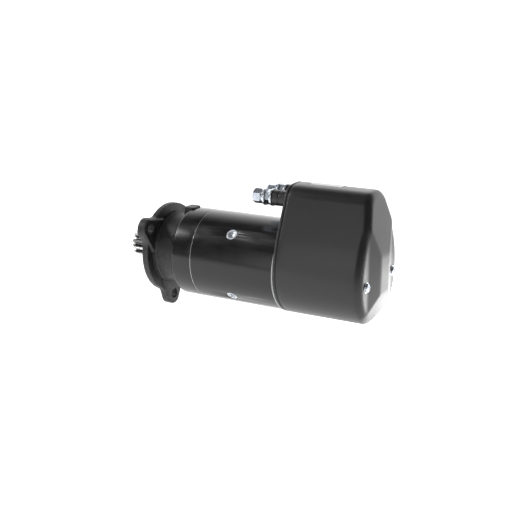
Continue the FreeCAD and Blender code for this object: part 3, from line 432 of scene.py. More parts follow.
def smoothCopy(nodeName, body, bevelMm, wear=0.6):
    # a merged copy of a CAD node with eased edges; wear sits on sharp corners
    sharp = math.radians(copies["sharpAngle"])
    mesh = nodes[nodeName].data.copy()
    work = bmesh.new()
    work.from_mesh(mesh)
    bmesh.ops.remove_doubles(work, verts=work.verts, dist=copies["mergeDistance"])
    bmesh.ops.dissolve_limit(work, angle_limit=math.radians(copies["flatAngle"]), verts=work.verts,
                             edges=work.edges)
    layer = work.verts.layers.float.new("edge")
    for edge in work.edges:
        if len(edge.link_faces) == 2 and edge.calc_face_angle(0.0) > sharp:
            for vert in edge.verts:
                vert[layer] = wear
    work.to_mesh(mesh)
    work.free()
    mesh.materials.clear()
    mesh.materials.append(finishes[slotFinish[slotOfNode[nodeName]]])
    piece = addObject(nodeName + "_skin", mesh)
    resharpen(piece, copies["sharpAngle"])
    bevel = piece.modifiers.new("eased", "BEVEL")
    bevel.width = bevelMm * mm
    bevel.segments = copies["bevelSegments"]
    bevel.limit_method = "ANGLE"
    bevel.angle_limit = sharp
    bevel.harden_normals = True
    stand(piece, body, nodeName)


def smoothMin(a, b, width):
    # polynomial minimum: the two meet in a round of about that width
    h = np.clip(0.5 + 0.5 * (b - a) / width, 0.0, 1.0)
    return b * (1 - h) + a * h - width * h * (1 - h)


def smoothMax(a, b, width):
    return -smoothMin(-a, -b, width)


# camera, light and floor
view = {"azimuth": 29.27, "elevation": 15.86, "lens": 66.17, "distanceMm": 1305.8,
        "targetMm": (147.4, 0.0, 4.4)}


def addCamera():
    a = math.radians(view["azimuth"])
    e = math.radians(view["elevation"])
    back = Vector((math.sin(a) * math.cos(e), -math.cos(a) * math.cos(e), math.sin(e)))
    camera = bpy.data.cameras.new("camera")
    camera.lens = view["lens"]
    camera.sensor_width = 36.0
    camera.clip_end = 60.0
    holder = addObject("camera", camera)
    holder.location = Vector(view["targetMm"]) * mm + back * view["distanceMm"] * mm
    holder.rotation_euler = back.to_track_quat("Z", "Y").to_euler()
    bpy.context.scene.camera = holder


# farGlow and farPlace give the painted pool of light on the floor
studio = {"floorMiddleX": 150.0, "floorRings": (300.0, 900.0, 1600.0, 2600.0), "floorGap": 0.2,
          "pale": (0.50, 0.50, 0.50), "shade": (0.25, 0.25, 0.25), "glow": 1.20, "frontGlow": 0.15,
          "farGlow": 3.2, "farPlace": (0.37, 0.22), "front": (0.489, -0.872), "skyStrength": 3.0,
          # name, place, target, size and power of each lamp
          "lights": [
              ("key", (-0.80, -0.46, 0.74), (0.20, 0.0, 0.02), (0.34, 0.34), 5.0),
              ("side", (-0.09, -1.05, 0.42), (-0.09, 0.0, 0.42), (0.58, 0.85), 2.3),
              ("catch", (-0.40, -0.33, 0.97), (0.12, -0.04, 0.04), (0.30, 0.16), 0.15)],
          # degrees up from the front side, brightness
          "sky": [(-180, 1.9), (-120, 1.5), (-60, 1.0), (-20, 0.6), (-3, 0.30), (8, 0.20), (30, 0.16),
                  (48, 0.07), (62, 0.03), (76, 0.25), (90, 0.32), (103, 0.22), (118, 0.06), (127, 0.45),
                  (137, 1.2), (155, 1.9), (180, 1.9)]}


def towardsFront(tree, split):
    # the part of a split vector that points to the front side
    return combine(tree, "ADD", combine(tree, "MULTIPLY", split.outputs["X"], studio["front"][0]),
                   combine(tree, "MULTIPLY", split.outputs["Y"], studio["front"][1]))


def addLight(name, place, target, size, power):
    lamp = bpy.data.lights.new(name, "AREA")
    lamp.shape = "RECTANGLE"
    lamp.size, lamp.size_y = size
    lamp.energy = power
    holder = addObject(name, lamp)
    holder.location = place
    aim = Vector(place) - Vector(target)
    holder.rotation_euler = aim.to_track_quat("Z", "Y").to_euler()


def addFloor():
    # a round pale floor: even glow that fades out in front, and a brighter patch under the far side: a
    # painted pool of light, glowing where a panel behind would light the floor
    theta = circleSteps(96)
    level = cadBounds[0][2] / mm - studio["floorGap"]
    radii = np.array(studio["floorRings"])
    grid = np.zeros((len(radii), len(theta), 3))
    grid[..., 0] = studio["floorMiddleX"] + radii[:, None] * np.cos(theta)
    grid[..., 1] = radii[:, None] * np.sin(theta)
    grid[..., 2] = level
    points = np.vstack([[[studio["floorMiddleX"], 0.0, level]], grid.reshape(-1, 3)])
    ring = np.arange(len(theta)) + 1
    faces = [[0, int(a), int(b)] for a, b in zip(ring, np.roll(ring, -1))]
    faces += [[i + 1 for i in face] for face in gridFaces(len(radii), len(theta))]
    mesh = bpy.data.meshes.new("floor")
    mesh.from_pydata((points * mm).tolist(), [], faces)
    floor = addObject("floor", mesh)
    material, tree, shader = startMaterial("palePaper", 0.0, Roughness=0.8)
    shader.inputs["Emission Color"].default_value = (1.0, 1.0, 1.0, 1.0)
    split = tree.nodes.new("ShaderNodeSeparateXYZ")
    tree.links.new(objectCoords(tree), split.inputs[0])
    ahead = towardsFront(tree, split)
    apart = tree.nodes.new("ShaderNodeVectorMath")
    apart.operation = "DISTANCE"
    apart.inputs[1].default_value = (*studio["farPlace"], level * mm)
    tree.links.new(objectCoords(tree), apart.inputs[0])
    # painted pool of light: extra glow around farPlace, fading out between 0.12 and 0.24 from it
    paintedPool = remap(tree, apart.outputs["Value"], 0.12, 0.24, studio["farGlow"], 0.0)
    evenGlow = remap(tree, ahead, 0.62, 0.85, studio["glow"], studio["frontGlow"])
    tree.links.new(combine(tree, "ADD", paintedPool, evenGlow), shader.inputs["Emission Strength"])
    mottle = remap(tree, noise(tree, 300.0, 2.0), 0.3, 0.7, 0.0, 0.03)
    far = combine(tree, "ADD", remap(tree, ahead, 0.66, 1.10, 0.0, 1.0), mottle)
    tree.links.new(blendColours(tree, far, studio["pale"], studio["shade"]), shader.inputs["Base Color"])
    mesh.materials.append(material)


def addSky():
    # brightness by the angle up from the front side: dim in front, a soft box
    # just short of overhead, bright behind
    world = bpy.data.worlds.new("studioSky")
    world.use_nodes = True
    bpy.context.scene.world = world
    tree = world.node_tree
    split = tree.nodes.new("ShaderNodeSeparateXYZ")
    tree.links.new(tree.nodes.new("ShaderNodeTexCoord").outputs["Generated"], split.inputs[0])
    angle = combine(tree, "ARCTAN2", split.outputs["Z"], towardsFront(tree, split))
    ramp = tree.nodes.new("ShaderNodeValToRGB")
    stops = ramp.color_ramp.elements
    for _ in studio["sky"][2:]:
        stops.new(0.5)
    for stop, (degrees, value) in zip(stops, studio["sky"]):
        stop.position = (degrees + 180.0) / 360.0
        stop.color = (*[value / studio["skyStrength"]] * 3, 1.0)
    tree.links.new(remap(tree, angle, -math.pi, math.pi, 0.0, 1.0), ramp.inputs["Fac"])
    tree.links.new(ramp.outputs["Color"], tree.nodes["Background"].inputs["Color"])
    tree.nodes["Background"].inputs["Strength"].default_value = studio["skyStrength"]


def addStudio():
    for lamp in studio["lights"]:
        addLight(*lamp)
    addFloor()
    addSky()
    bpy.context.scene.view_settings.view_transform = "Standard"


addCamera()
addStudio()
print("camera and studio set")

# drive-end housing
housing = {"flange": 64.0, "disc": 9.0, "lug": 12.5, "tip": 15.2, "circle": 70.0, "flank": 22.0, "root": 5.0,
           "hole": 6.75, "sink": 3.6, "firstAngle": 33.5, "edgeRound": 1.6, "frontRound": 0.7,
           "pilot": 46.0, "pilotLength": 10.0, "bore": 20.0, "collar": 51.7, "neck": 50.5, "neckStart": 15.2,
           "bell": 62.0, "bellStart": 42.0, "end": 78.0, "glossFrom": 2.5,
           "cavity": 43.0, "cavityStart": 10.0, "mouth": 55.0, "mouthStart": 60.0}
lugSector = 1.2  # a lug is looked for this far to each side, in radians


def lugAngles():
    # from the -Y side towards +Z, as angles with y = r cos, z = r sin
    return [math.radians(180.0 - housing["firstAngle"] - 120.0 * i) for i in range(3)]


def lugTouch():
    # slope of the straight flanks, and where they touch the tip circle: distance
    # out along the lug and to its side
    slope = math.radians(housing["flank"])
    return slope, housing["circle"] + housing["tip"] * math.sin(slope), housing["tip"] * math.cos(slope)


def flangeOutline(theta):
    # disc radius joined by a soft maximum to the three lug outlines: along a ray,
    # a lug reaches either its tip circle or its straight flank
    slope, touchR, touchS = lugTouch()
    tan = math.tan(slope)
    outline = np.full(theta.shape, housing["flange"])
    for middle in lugAngles():
        away = np.abs((theta - middle + math.pi) % (2 * math.pi) - math.pi)
        near = np.minimum(away, lugSector)
        root = np.maximum(housing["tip"] ** 2 - (housing["circle"] * np.sin(near)) ** 2, 0.0)
        tipArc = housing["circle"] * np.cos(near) + np.sqrt(root)
        straight = (touchS + touchR * tan) / (np.sin(near) + tan * np.cos(near))
        lug = np.where(near < math.atan2(touchS, touchR), tipArc, straight)
        outline = smoothMax(outline, np.where(away < lugSector, lug, 0.0), housing["root"])
    return outline


def padLift(theta, radius):
    # 1 on the thick lug pads, 0 on the disc, with a cast slope between
    lift = np.zeros(np.broadcast(theta, radius).shape)
    slope, touchR, touchS = lugTouch()
    for middle in lugAngles():
        along = radius * np.cos(theta - middle)
        across = np.abs(radius * np.sin(theta - middle))
        inside = (touchS + (touchR - along) * math.tan(slope) - across) * math.cos(slope)
        ramp = np.clip(inside / 2.4, 0.0, 1.0)
        lift = np.maximum(lift, np.where(along > 0, ramp * ramp * (3 - 2 * ramp), 0.0))
    return lift


def backFace(theta, radius):
    return housing["disc"] + (housing["lug"] - housing["disc"]) * padLift(theta, radius)


def makeHousing():
    # profile rows (x, r), some with arrays over the angle, closed through the inside
    theta = np.sort(np.concatenate([circleSteps(360), circleSteps(360) + math.radians(0.5)]))
    rim = flangeOutline(theta)
    pilotFace = -housing["pilotLength"]
    rows = roundedProfile([(pilotFace + 1.0, housing["bore"], 0), (pilotFace, housing["bore"], 0.4),
                           (pilotFace, housing["pilot"], 1.0), (0.0, housing["pilot"], 0.5),
                           (0.0, 0.5 * (housing["pilot"] + rim), 0)])
    edge = housing["edgeRound"]
    thick = backFace(theta, rim - edge)
    for t in np.linspace(0, 1, 4):
        rows.append(pairUp(housing["frontRound"] * t ** 2, rim - housing["frontRound"] * (1 - t) ** 2))
    rows.append(pairUp(0.5 * thick, rim))
    for angle in np.linspace(0, math.pi / 2, 6):
        rows.append(pairUp(thick - edge * (1 - math.sin(angle)), rim - edge * (1 - math.cos(angle))))
    inner = housing["collar"] + 0.6
    for t in np.linspace(0.04, 1, 30):
        radius = (rim - edge) * (1 - t) + inner * t
        rows.append(pairUp(backFace(theta, radius), radius))
    foot = backFace(theta, np.full(theta.shape, inner))
    neck, bell, bellStart = housing["neck"], housing["bell"], housing["bellStart"]
    rows += roundedProfile([
        (foot, housing["collar"], 0), (foot + 0.8, housing["collar"] - 0.2, 0),
        (housing["neckStart"] - 1.0, housing["collar"] - 0.3, 0.7), (housing["neckStart"], neck, 0.8),
        (28.0, neck, 0), (bellStart, neck, 2.2), (bellStart + 3.2, bell - 2.4, 1.2),
        (bellStart + 6.0, bell, 1.6), (70.0, bell, 0), (housing["end"], bell, 0.5),
        (housing["end"], housing["mouth"], 0), (housing["mouthStart"], housing["mouth"], 0),
        (housing["mouthStart"], housing["cavity"], 0), (housing["cavityStart"], housing["cavity"], 0),
        (housing["cavityStart"], housing["bore"], 0)], 5)
    piece = gridPiece("drive_end_housing_skin", turnedGrid(rows, theta), "castBlackPaint",
                      cornerMask(rows, len(theta)) * 0.8, 50.0)
    for middle in lugAngles():
        # drill with a small countersink at both faces
        hole, wide, lug = housing["hole"], housing["hole"] + housing["sink"], housing["lug"]
        at = (housing["circle"] * math.cos(middle), housing["circle"] * math.sin(middle))
        drill = [(-3.0, 0.0, 0), (-3.0, wide, 0), (0.6, hole, 0), (lug - 0.6, hole, 0), (lug + 3.0, wide, 0),
                 (lug + 3.0, 0.0, 0)]
        cutWith(piece, turnedPiece("drill", drill, "castBlackPaint", 64, at))
    resharpen(piece, 42.0)
    piece.data.materials.append(finishes["glossBlackPaint"])
    for face in piece.data.polygons:
        if face.center[0] > (bellStart + housing["glossFrom"]) * mm:
            face.material_index = 1
    stand(piece, "housing", "drive_end_housing")


pad = {"halfLength": 8.0, "halfWidth": 10.0, "rise": 2.0, "afterBell": 2.0, "squareness": 6.0, "foot": 46.0}


def superCosine(values):
    # keeps the sign and lifts the size towards 1, so that a circle turns squarish
    return np.sign(values) * np.abs(values) ** (2.0 / pad["squareness"])


def makeHousingPad():
    # small raised cast pad on top, where the bell starts: a box whose rim is
    # drawn in by a quarter round, rows from the foot up to the middle of the top
    top = housing["bell"] + pad["rise"]
    middleX = housing["bellStart"] + pad["afterBell"]
    theta = circleSteps(64)
    rows = [(1.12, pad["foot"]), (1.04, top - 4.0)]
    for t in np.linspace(0, math.pi / 2, 6):
        rows.append((1.02 - 0.16 * (1 - math.cos(t)), top - 1.6 * (1 - math.sin(t))))
    rows += [(0.4, top), (0.02, top)]
    grid = np.zeros((len(rows), len(theta), 3))
    for i, (size, z) in enumerate(rows):
        grid[i, :, 0] = middleX + superCosine(np.cos(theta)) * pad["halfLength"] * size
        grid[i, :, 1] = superCosine(np.sin(theta)) * pad["halfWidth"] * size
        grid[i, :, 2] = z
    faces = gridFaces(len(rows), len(theta))
    faces.append(list(range(len(theta)))[::-1])
    faces.append([(len(rows) - 1) * len(theta) + i for i in range(len(theta))])
    piece = meshObject("housing_pad", grid.reshape(-1, 3), faces, "castBlackPaint")
    stand(piece, "housing")


makeHousing()
makeHousingPad()
print("housing made")

# yoke tube, the bare steel ring at its joint, the gasket and the pole screws
yoke = {"start": 78.0, "end": 204.5, "ring": 61.85, "ringInner": 61.0, "ringHalf": 0.45,
        "gasket": 62.6, "gasketInner": 54.0, "gasketEnd": 206.5,
        "screwX": 134.3, "headRadius": 7.9, "headTop": 61.3, "shank": 5.0, "shankLength": 15.0,
        "dish": 5.0, "innerRing": 4.4, "socket": 3.6, "socketDepth": 3.2}


def poleScrewPoints(angle):
    # turned about its own axis, then laid along the radius at that angle: rim
    # cone, a shallow dish, a raised inner ring and a six-sided socket
    theta = circleSteps(72)
    sector = (theta + math.pi / 6) % (math.pi / 3) - math.pi / 6
    hexagon = yoke["socket"] * math.cos(math.pi / 6) / np.cos(sector)
    top = yoke["headTop"]
    bottom = top - yoke["socketDepth"]
    rows = roundedProfile([
        (top - yoke["shankLength"], 0.02, 0), (top - yoke["shankLength"], yoke["shank"], 0.4),
        (top - 4.5, yoke["shank"], 0.3), (top - 0.5, yoke["headRadius"] - 0.1, 0.2),
        (top, yoke["headRadius"] - 0.3, 0.25), (top - 0.1, yoke["dish"], 0.15),
        (top - 1.3, yoke["dish"] - 0.25, 0.2), (top - 1.3, yoke["innerRing"], 0.1),
        (top - 1.4, hexagon + 0.2, 0.1), (top - 1.8, hexagon, 0.1), (bottom, hexagon, 0.2),
        (bottom - 0.8, 0.02, 0)], 3)
    turned = turnedGrid(rows, theta)
    height, acrossX, acrossS = turned[..., 0], turned[..., 1], turned[..., 2]
    grid = np.stack([yoke["screwX"] + acrossX, height * math.cos(angle) - acrossS * math.sin(angle),
                     height * math.sin(angle) + acrossS * math.cos(angle)], axis=-1)
    return grid, cornerMask(rows, len(theta))


def makePoleScrews():
    parts = []
    for i in range(4):
        grid, mask = poleScrewPoints(math.radians(45.0 + 90.0 * i))
        parts.append(gridPiece("screw", grid, "zincPlate", mask, 35.0))
    standJoined("pole_screws", parts)


def makeYoke():
    smoothCopy("yoke_tube", "housing", 0.25, wear=0.0)
    x0 = yoke["start"] - yoke["ringHalf"]
    x1 = yoke["start"] + yoke["ringHalf"]
    profile = [(x0, yoke["ringInner"], 0), (x0, yoke["ring"], 0.1), (x1, yoke["ring"], 0.1),
               (x1, yoke["ringInner"], 0)]
    line = turnedPiece("joint_edge", profile, "turnedSteel", 240)
    stand(line, "housing")
    x0 = yoke["end"]
    x1 = yoke["gasketEnd"]
    profile = [(x0, yoke["gasketInner"], 0), (x0, yoke["gasket"], 0.5), (x1, yoke["gasket"], 0.5),
               (x1, yoke["gasketInner"], 0)]
    stand(turnedPiece("cover_gasket_skin", profile, "fibreGasket", 240), "housing", "cover_gasket")


makeYoke()
makePoleScrews()
print("yoke made")

# rear cover
cover = {"radius": 63.0, "side": 124.0, "flank": 24.5, "height": 114.5, "crown": 120.0, "corner": 24.0,
         "mouth": 206.5, "end": 339.0, "middleZ": 12.0, "wall": 1.5, "edge": 10.5,
         "lip": 3.6, "lipWear": 0.35, "grooveEnd": 211.7, "grooveDepth": 0.8,
         "facetHalf": 14.0, "facetTop": 34.6, "facetBottom": -18.0, "sideEnd": 39.0, "sideDrop": 8.0,
         "upperSlope": 0.18, "lowerSlope": 0.37, "crease": 1.1,
         "screwY": 44.0, "screwZ": -1.0, "seat": 7.6, "seatEase": 1.6}


def arc(middle, radius, angles):
    # points of a circle in the Y-Z plane
    return np.array(middle) + np.stack([np.cos(angles), np.sin(angles)], -1) * radius


def coverOutline():
    # half the section as five tangent stretches, each a function of its own
    # angle or length; returns points and outward normals, right round, in Y-Z
    a = math.radians(cover["flank"])
    sideY = cover["side"] - cover["radius"]
    crownZ = cover["height"] - cover["crown"]
    startY = sideY - cover["side"] * math.cos(a) + cover["corner"] * math.cos(a)
    startZ = cover["side"] * math.sin(a) - cover["corner"] * math.sin(a) - crownZ
    reach = cover["crown"] - cover["corner"]
    half = startY * math.sin(a) + startZ * math.cos(a)
    along = -half + math.sqrt(half ** 2 - (startY ** 2 + startZ ** 2 - reach ** 2))
    cornerY = startY + along * math.sin(a)
    cornerZ = startZ + along * math.cos(a) + crownZ
    lean = math.atan2(cornerZ - crownZ, cornerY)
    foot = np.linspace(-math.pi / 2, -math.pi, 60, endpoint=False)
    side = math.pi - np.linspace(0, a, 26, endpoint=False)
    corner = np.linspace(math.pi - a, lean, 34, endpoint=False)
    crown = np.linspace(lean, math.pi / 2, 24, endpoint=False)
    share = np.linspace(0, 1, 36, endpoint=False)[:, None]
    flankFoot = np.array([sideY - cover["side"] * math.cos(a), cover["side"] * math.sin(a)])
    flankTop = np.array([cornerY - cover["corner"] * math.cos(a), cornerZ + cover["corner"] * math.sin(a)])
    stretches = [
        (arc((0.0, 0.0), cover["radius"], foot), foot),
        (arc((sideY, 0.0), cover["side"], side), side),
        (flankFoot * (1 - share) + flankTop * share, np.full(len(share), math.pi - a)),
        (arc((cornerY, cornerZ), cover["corner"], corner), corner),
        (arc((0.0, crownZ), cover["crown"], crown), crown)]
    points = np.concatenate([spots for spots, _ in stretches])
    normals = arc((0.0, 0.0), 1.0, np.concatenate([facing for _, facing in stretches]))
    top = np.array([[0.0, cover["height"]]])
    up = np.array([[0.0, 1.0]])
    mirror = np.array([-1.0, 1.0])
    points = np.concatenate([points, top, points[:0:-1] * mirror])
    normals = np.concatenate([normals, up, normals[:0:-1] * mirror])
    return points, normals


def rearDepth(y, z):
    # distance back of the faceted rear: a middle face with side facets that drop
    # to flat edge strips, met by an upper and a lower sloping facet
    fall = cover["sideDrop"] * (np.abs(y) - cover["facetHalf"]) / (cover["sideEnd"] - cover["facetHalf"])
    strip = cover["end"] - cover["sideDrop"]
    crease = cover["crease"]
    middle = smoothMax(smoothMin(cover["end"], cover["end"] - fall, crease), strip, crease)
    upper = cover["end"] - cover["upperSlope"] * (z - cover["facetTop"])
    lower = cover["end"] - cover["lowerSlope"] * (cover["facetBottom"] - z)
    depth = smoothMin(smoothMin(middle, upper, crease), lower, crease)
    for side in (-1, 1):
        # a flat seat under each screw, eased into the facets around it
        reach = np.hypot(y - side * cover["screwY"], z - cover["screwZ"])
        ease = np.clip((reach - cover["seat"]) / cover["seatEase"], 0.0, 1.0)
        flat = np.minimum(depth, strip)
        depth = flat + (depth - flat) * ease * ease * (3 - 2 * ease)
    return depth


def coverShell(points, normals, inset, back):
    # rows from the mouth to the pole: straight wall, then a quarter round whose
    # start follows the depth of the rear at that place, then the rear drawn in
    # towards the middle; inset moves the skin inwards, back moves it forward
    edge = cover["edge"] - inset
    rim = points - normals * (inset + edge)
    depthAtRim = rearDepth(rim[:, 0], rim[:, 1]) - back
    rows = []
    spot = points - normals * inset
    for t in np.linspace(0.0, 1.0, 14)[:-1]:
        rows.append(np.column_stack([cover["grooveEnd"] * (1 - t) + (depthAtRim - edge) * t, spot]))
    for angle in np.linspace(0.0, math.pi / 2, 12):
        spot = points - normals * (inset + edge * (1 - math.cos(angle)))
        depth = rearDepth(spot[:, 0], spot[:, 1]) - back
        blend = math.sin(angle) ** 2
        level = depthAtRim * (1 - blend) + depth * blend
        rows.append(np.column_stack([level - edge * (1 - math.sin(angle)), spot]))
    middle = np.array([0.0, cover["middleZ"]])
    for t in np.linspace(0.0, 1.0, 62)[1:-1]:
        spot = rim * (1 - t) + middle * t
        rows.append(np.column_stack([rearDepth(spot[:, 0], spot[:, 1]) - back, spot]))
    return rows


def makeCover():
    points, normals = coverOutline()
    outer = coverShell(points, normals, 0.0, 0.0)
    inner = coverShell(points, normals, cover["wall"], cover["wall"])
    mouth, wall, deep, grooveEnd = cover["mouth"], cover["wall"], cover["grooveDepth"], cover["grooveEnd"]
    lipEnd = mouth + cover["lip"]
    # the rolled lip and the groove behind it, as (x, how far inside the skin)
    lip = [(mouth + 0.8, wall), (mouth + 0.2, wall - 0.2), (mouth, 0.9), (mouth + 0.1, 0.4),
           (mouth + 0.5, 0.08), (mouth + 1.2, 0.0), (lipEnd - 0.9, 0.0), (lipEnd - 0.35, 0.1),
           (lipEnd, 0.4), (lipEnd + 0.15, deep), (grooveEnd - 0.45, deep), (grooveEnd - 0.2, 0.45),
           (grooveEnd + 0.2, 0.12), (grooveEnd + 0.9, 0.0)]
    rows = inner[::-1]
    rows += [np.column_stack([np.full(len(points), x), points - normals * inset]) for x, inset in lip]
    rows += outer[1:]
    count = len(points)
    faces = gridFaces(len(rows), count)
    poles = np.array([[cover["end"] - wall, 0.0, cover["middleZ"]], [cover["end"], 0.0, cover["middleZ"]]])
    first = len(rows) * count
    last = (len(rows) - 1) * count
    ring = np.arange(count)
    beyond = np.roll(ring, -1)
    faces += [[first, int(b), int(a)] for a, b in zip(ring, beyond)]
    faces += [[first + 1, int(last + a), int(last + b)] for a, b in zip(ring, beyond)]
    edge = np.zeros((len(rows), count))
    edge[len(inner) + 2:len(inner) + 7] = cover["lipWear"]
    points = np.vstack([np.stack(rows).reshape(-1, 3), poles])
    piece = meshObject("cover_skin", points, faces, "satinBlackPaint", [*edge.ravel(), 0.0, 0.0], 60.0)
    stand(piece, "housing", "cover")


label = {"x": (230.5, 274.5), "y": (-2.0, 16.0), "thick": 0.14}


def makeLabel():
    # a blank rectangle bent over the crown: height follows the crown's circle
    crownZ = cover["height"] - cover["crown"]
    u = np.linspace(0.0, 1.0, 30)
    v = np.linspace(0.0, 1.0, 20)
    x = label["x"][0] + (label["x"][1] - label["x"][0]) * u[:, None] + 0 * v
    y = label["y"][0] + (label["y"][1] - label["y"][0]) * v + 0 * u[:, None]
    skins = []
    for lift in (0.0, label["thick"]):
        radius = cover["crown"] + lift
        skins.append(np.stack([x, y, crownZ + np.sqrt(radius ** 2 - y ** 2)], -1))
    count = u.size * v.size
    ids = np.arange(count).reshape(u.size, v.size)
    faces = gridFaces(u.size, v.size, False, False)
    faces = [face[::-1] for face in faces] + [[i + count for i in face] for face in faces]
    border = np.concatenate([ids[0, :-1], ids[:-1, -1], ids[-1, :0:-1], ids[:0:-1, 0]])
    ahead = np.roll(border, -1)
    faces += [[int(a), int(b), int(b + count), int(a + count)] for a, b in zip(border, ahead)]
    points = np.concatenate([skin.reshape(-1, 3) for skin in skins])
    stand(meshObject("label_skin", points, faces, "labelFilm"), "housing", "label")


makeCover()
makeLabel()
print("cover made")

# cover screws
coverScrew = {"head": 5.8, "height": 3.4, "shank": 3.0, "tip": 250.0, "seat": 331.0,
              "washer": 7.0, "washerThick": 0.8, "washerBore": 3.3,
              "recess": 3.7, "recessWidth": 0.75, "recessDepth": 2.2, "turn": 0.35}


def crossArm(top, at, turn):
    # a bar across the head that narrows towards its bottom
    along = np.array([math.cos(turn), math.sin(turn)]) * coverScrew["recess"]
    across = np.array([-math.sin(turn), math.cos(turn)]) * coverScrew["recessWidth"]
    corners = []
    for x, size in ((top - coverScrew["recessDepth"], 0.45), (top + 1.0, 1.0)):
        for sa, sb in ((-1, -1), (1, -1), (1, 1), (-1, 1)):
            spot = along * sa * size + across * sb * (0.5 + 0.5 * size)
            corners.append([x, at[0] + spot[0], at[1] + spot[1]])
    faces = [[3, 2, 1, 0], [4, 5, 6, 7], [0, 1, 5, 4], [1, 2, 6, 5], [2, 3, 7, 6], [3, 0, 4, 7]]
    return meshObject("cross", corners, faces, "zincPlate")


def makeCoverScrews():
    # pan heads with a cross recess: turned dome, then two crossed bars cut out
    heads, washers = [], []
    for side in (-1, 1):
        at = (side * cover["screwY"], cover["screwZ"])
        seat = coverScrew["seat"]
        base = seat + coverScrew["washerThick"]
        top = base + coverScrew["height"]
        r, shank, tip = coverScrew["head"], coverScrew["shank"], coverScrew["tip"]
        dome = [(tip, 0.02, 0), (tip, shank, 0.4), (base, shank, 0), (base, r - 0.2, 0), (base + 0.5, r, 0.3),
                (base + 1.9, r, 0.8), (top - 0.6, r - 1.5, 1.0), (top, 1.6, 0.8), (top, 0.02, 0)]
        head = turnedPiece("head", dome, "zincPlate", 72, at)
        for turn in (coverScrew["turn"], coverScrew["turn"] + math.pi / 2):
            cutWith(head, crossArm(top, at, turn))
        resharpen(head, 35.0)
        heads.append(head)
        r, bore = coverScrew["washer"], coverScrew["washerBore"]
        ring = [(seat, bore, 0), (seat, r, 0.2), (base, r, 0.4), (base, bore, 0)]
        washers.append(turnedPiece("washer", ring, "zincPlate", 72, at))
    standJoined("cover_screws", heads)
    standJoined("cover_screw_washers", washers)


makeCoverScrews()
print("cover screws made")

# terminals
terminal = {"y": 20.0, "z": 95.4, "mouth": 206.5,
            "insulator": 10.5, "insulatorFront": 186.5, "insulatorBore": 6.1,
            "washer": 11.5, "washerBore": 6.2, "washers": [(183.5, 186.5), (173.0, 176.0)],
            "thinNut": (176.0, 183.5), "spring": (169.5, 173.0), "springRadius": 9.0, "nut": (157.5, 169.5),
            "flats": 18.0, "tip": 156.0, "stud": 6.0, "pitch": 1.75, "threadDepth": 0.65,
            "shank": 5.95, "shankEnd": 223.0, "foot": 8.0, "footEnd": 226.8}


def threadedStud(name, x0, x1, radius, pitch, depth, at):
    # radius falls and rises once per pitch along a helix: r = R - depth * wave
    # where wave is a rounded triangle of (x / pitch - angle / turn)
    theta = circleSteps(48)
    xs = np.arange(x0 + 0.9, x1, pitch / 8.0)
    phase = (xs[:, None] / pitch - theta[None, :] / (2 * math.pi)) % 1.0
    wave = np.clip(1.25 * (1.0 - np.abs(2 * phase - 1.0)), 0.0, 1.0)
    runIn = np.clip((xs - x0 - 0.9) / 1.2, 0.0, 1.0)[:, None]
    r = radius - depth * (1 - runIn) - depth * wave * runIn
    rows = [pairUp(x0, 0.02), pairUp(x0, radius - 1.5), pairUp(x0 + 0.25, radius - 1.15)]
    rows += [pairUp(x, line) for x, line in zip(xs, r)]
    rows += [pairUp(x1, radius - depth), pairUp(x1, 0.02)]
    grid = turnedGrid(rows, theta, at)
    mask = np.zeros(grid.shape[:2])
    mask[3:3 + len(xs)] = (1 - wave) * 0.7
    return meshObject(name, grid.reshape(-1, 3), gridFaces(len(rows), len(theta)), "zincPlate", mask, 80.0)


def hexNut(name, x0, x1, flats, bore, at, turn):
    # six flats cut down by a cone at both faces: r = min(hexagon, cone(x))
    theta = circleSteps(120)
    sector = (theta + turn + math.pi / 6) % (math.pi / 3) - math.pi / 6
    hexagon = flats / 2 / np.cos(sector)
    corner = flats / 2 / math.cos(math.pi / 6)
    xs = np.concatenate([[0.0, 0.15, 0.35, 0.6, 0.9, 1.3, 1.8], np.linspace(2.4, x1 - x0 - 2.4, 4)])
    cone = np.minimum(flats / 2 - 0.35 + xs * 1.75, corner + 1)
    rows = [pairUp(x0 + x, np.minimum(hexagon, limit)) for x, limit in zip(xs, cone)]
    rows += [pairUp(x1 - x, np.minimum(hexagon, limit)) for x, limit in zip(xs[6::-1], cone[6::-1])]
    rows += [pairUp(x1, bore + 0.7), pairUp(x1 - 0.7, bore), pairUp(x0 + 0.7, bore), pairUp(x0, bore + 0.7)]
    nearCorner = np.clip((np.abs(sector) - 0.42) / 0.1, 0.0, 1.0)
    mask = np.tile(nearCorner, (len(rows), 1)) * 0.6
    mask[-4:] = 0.3
    return gridPiece(name, turnedGrid(rows, theta, at), "zincPlate", mask, 24.0)


def springWasher(name, x0, x1, inner, outer, at, start):
    # flat wire carried almost once round and climbing by the gap: a split ring
    turns = np.linspace(0.03, 0.97, 90)
    angle = start + turns * 2 * math.pi
    thick = (x1 - x0) * 0.62
    climb = (x1 - x0 - thick) * turns
    grid = np.zeros((4, len(turns), 3))
    for i, (dx, r) in enumerate([(0.0, inner), (0.0, outer), (thick, outer), (thick, inner)]):
        grid[i, :, 0] = x0 + dx + climb
        grid[i, :, 1] = at[0] + r * np.cos(angle)
        grid[i, :, 2] = at[1] + r * np.sin(angle)
    faces = gridFaces(4, len(turns), True, False)
    faces.append([i * len(turns) for i in (3, 2, 1, 0)])
    faces.append([i * len(turns) - 1 for i in (1, 2, 3, 4)])
    piece = meshObject(name, grid.reshape(-1, 3), faces, "zincPlate", np.full(grid.shape[:2], 0.15))
    bevel = piece.modifiers.new("eased", "BEVEL")
    bevel.width = 0.25 * mm
    bevel.segments = 2
    return piece


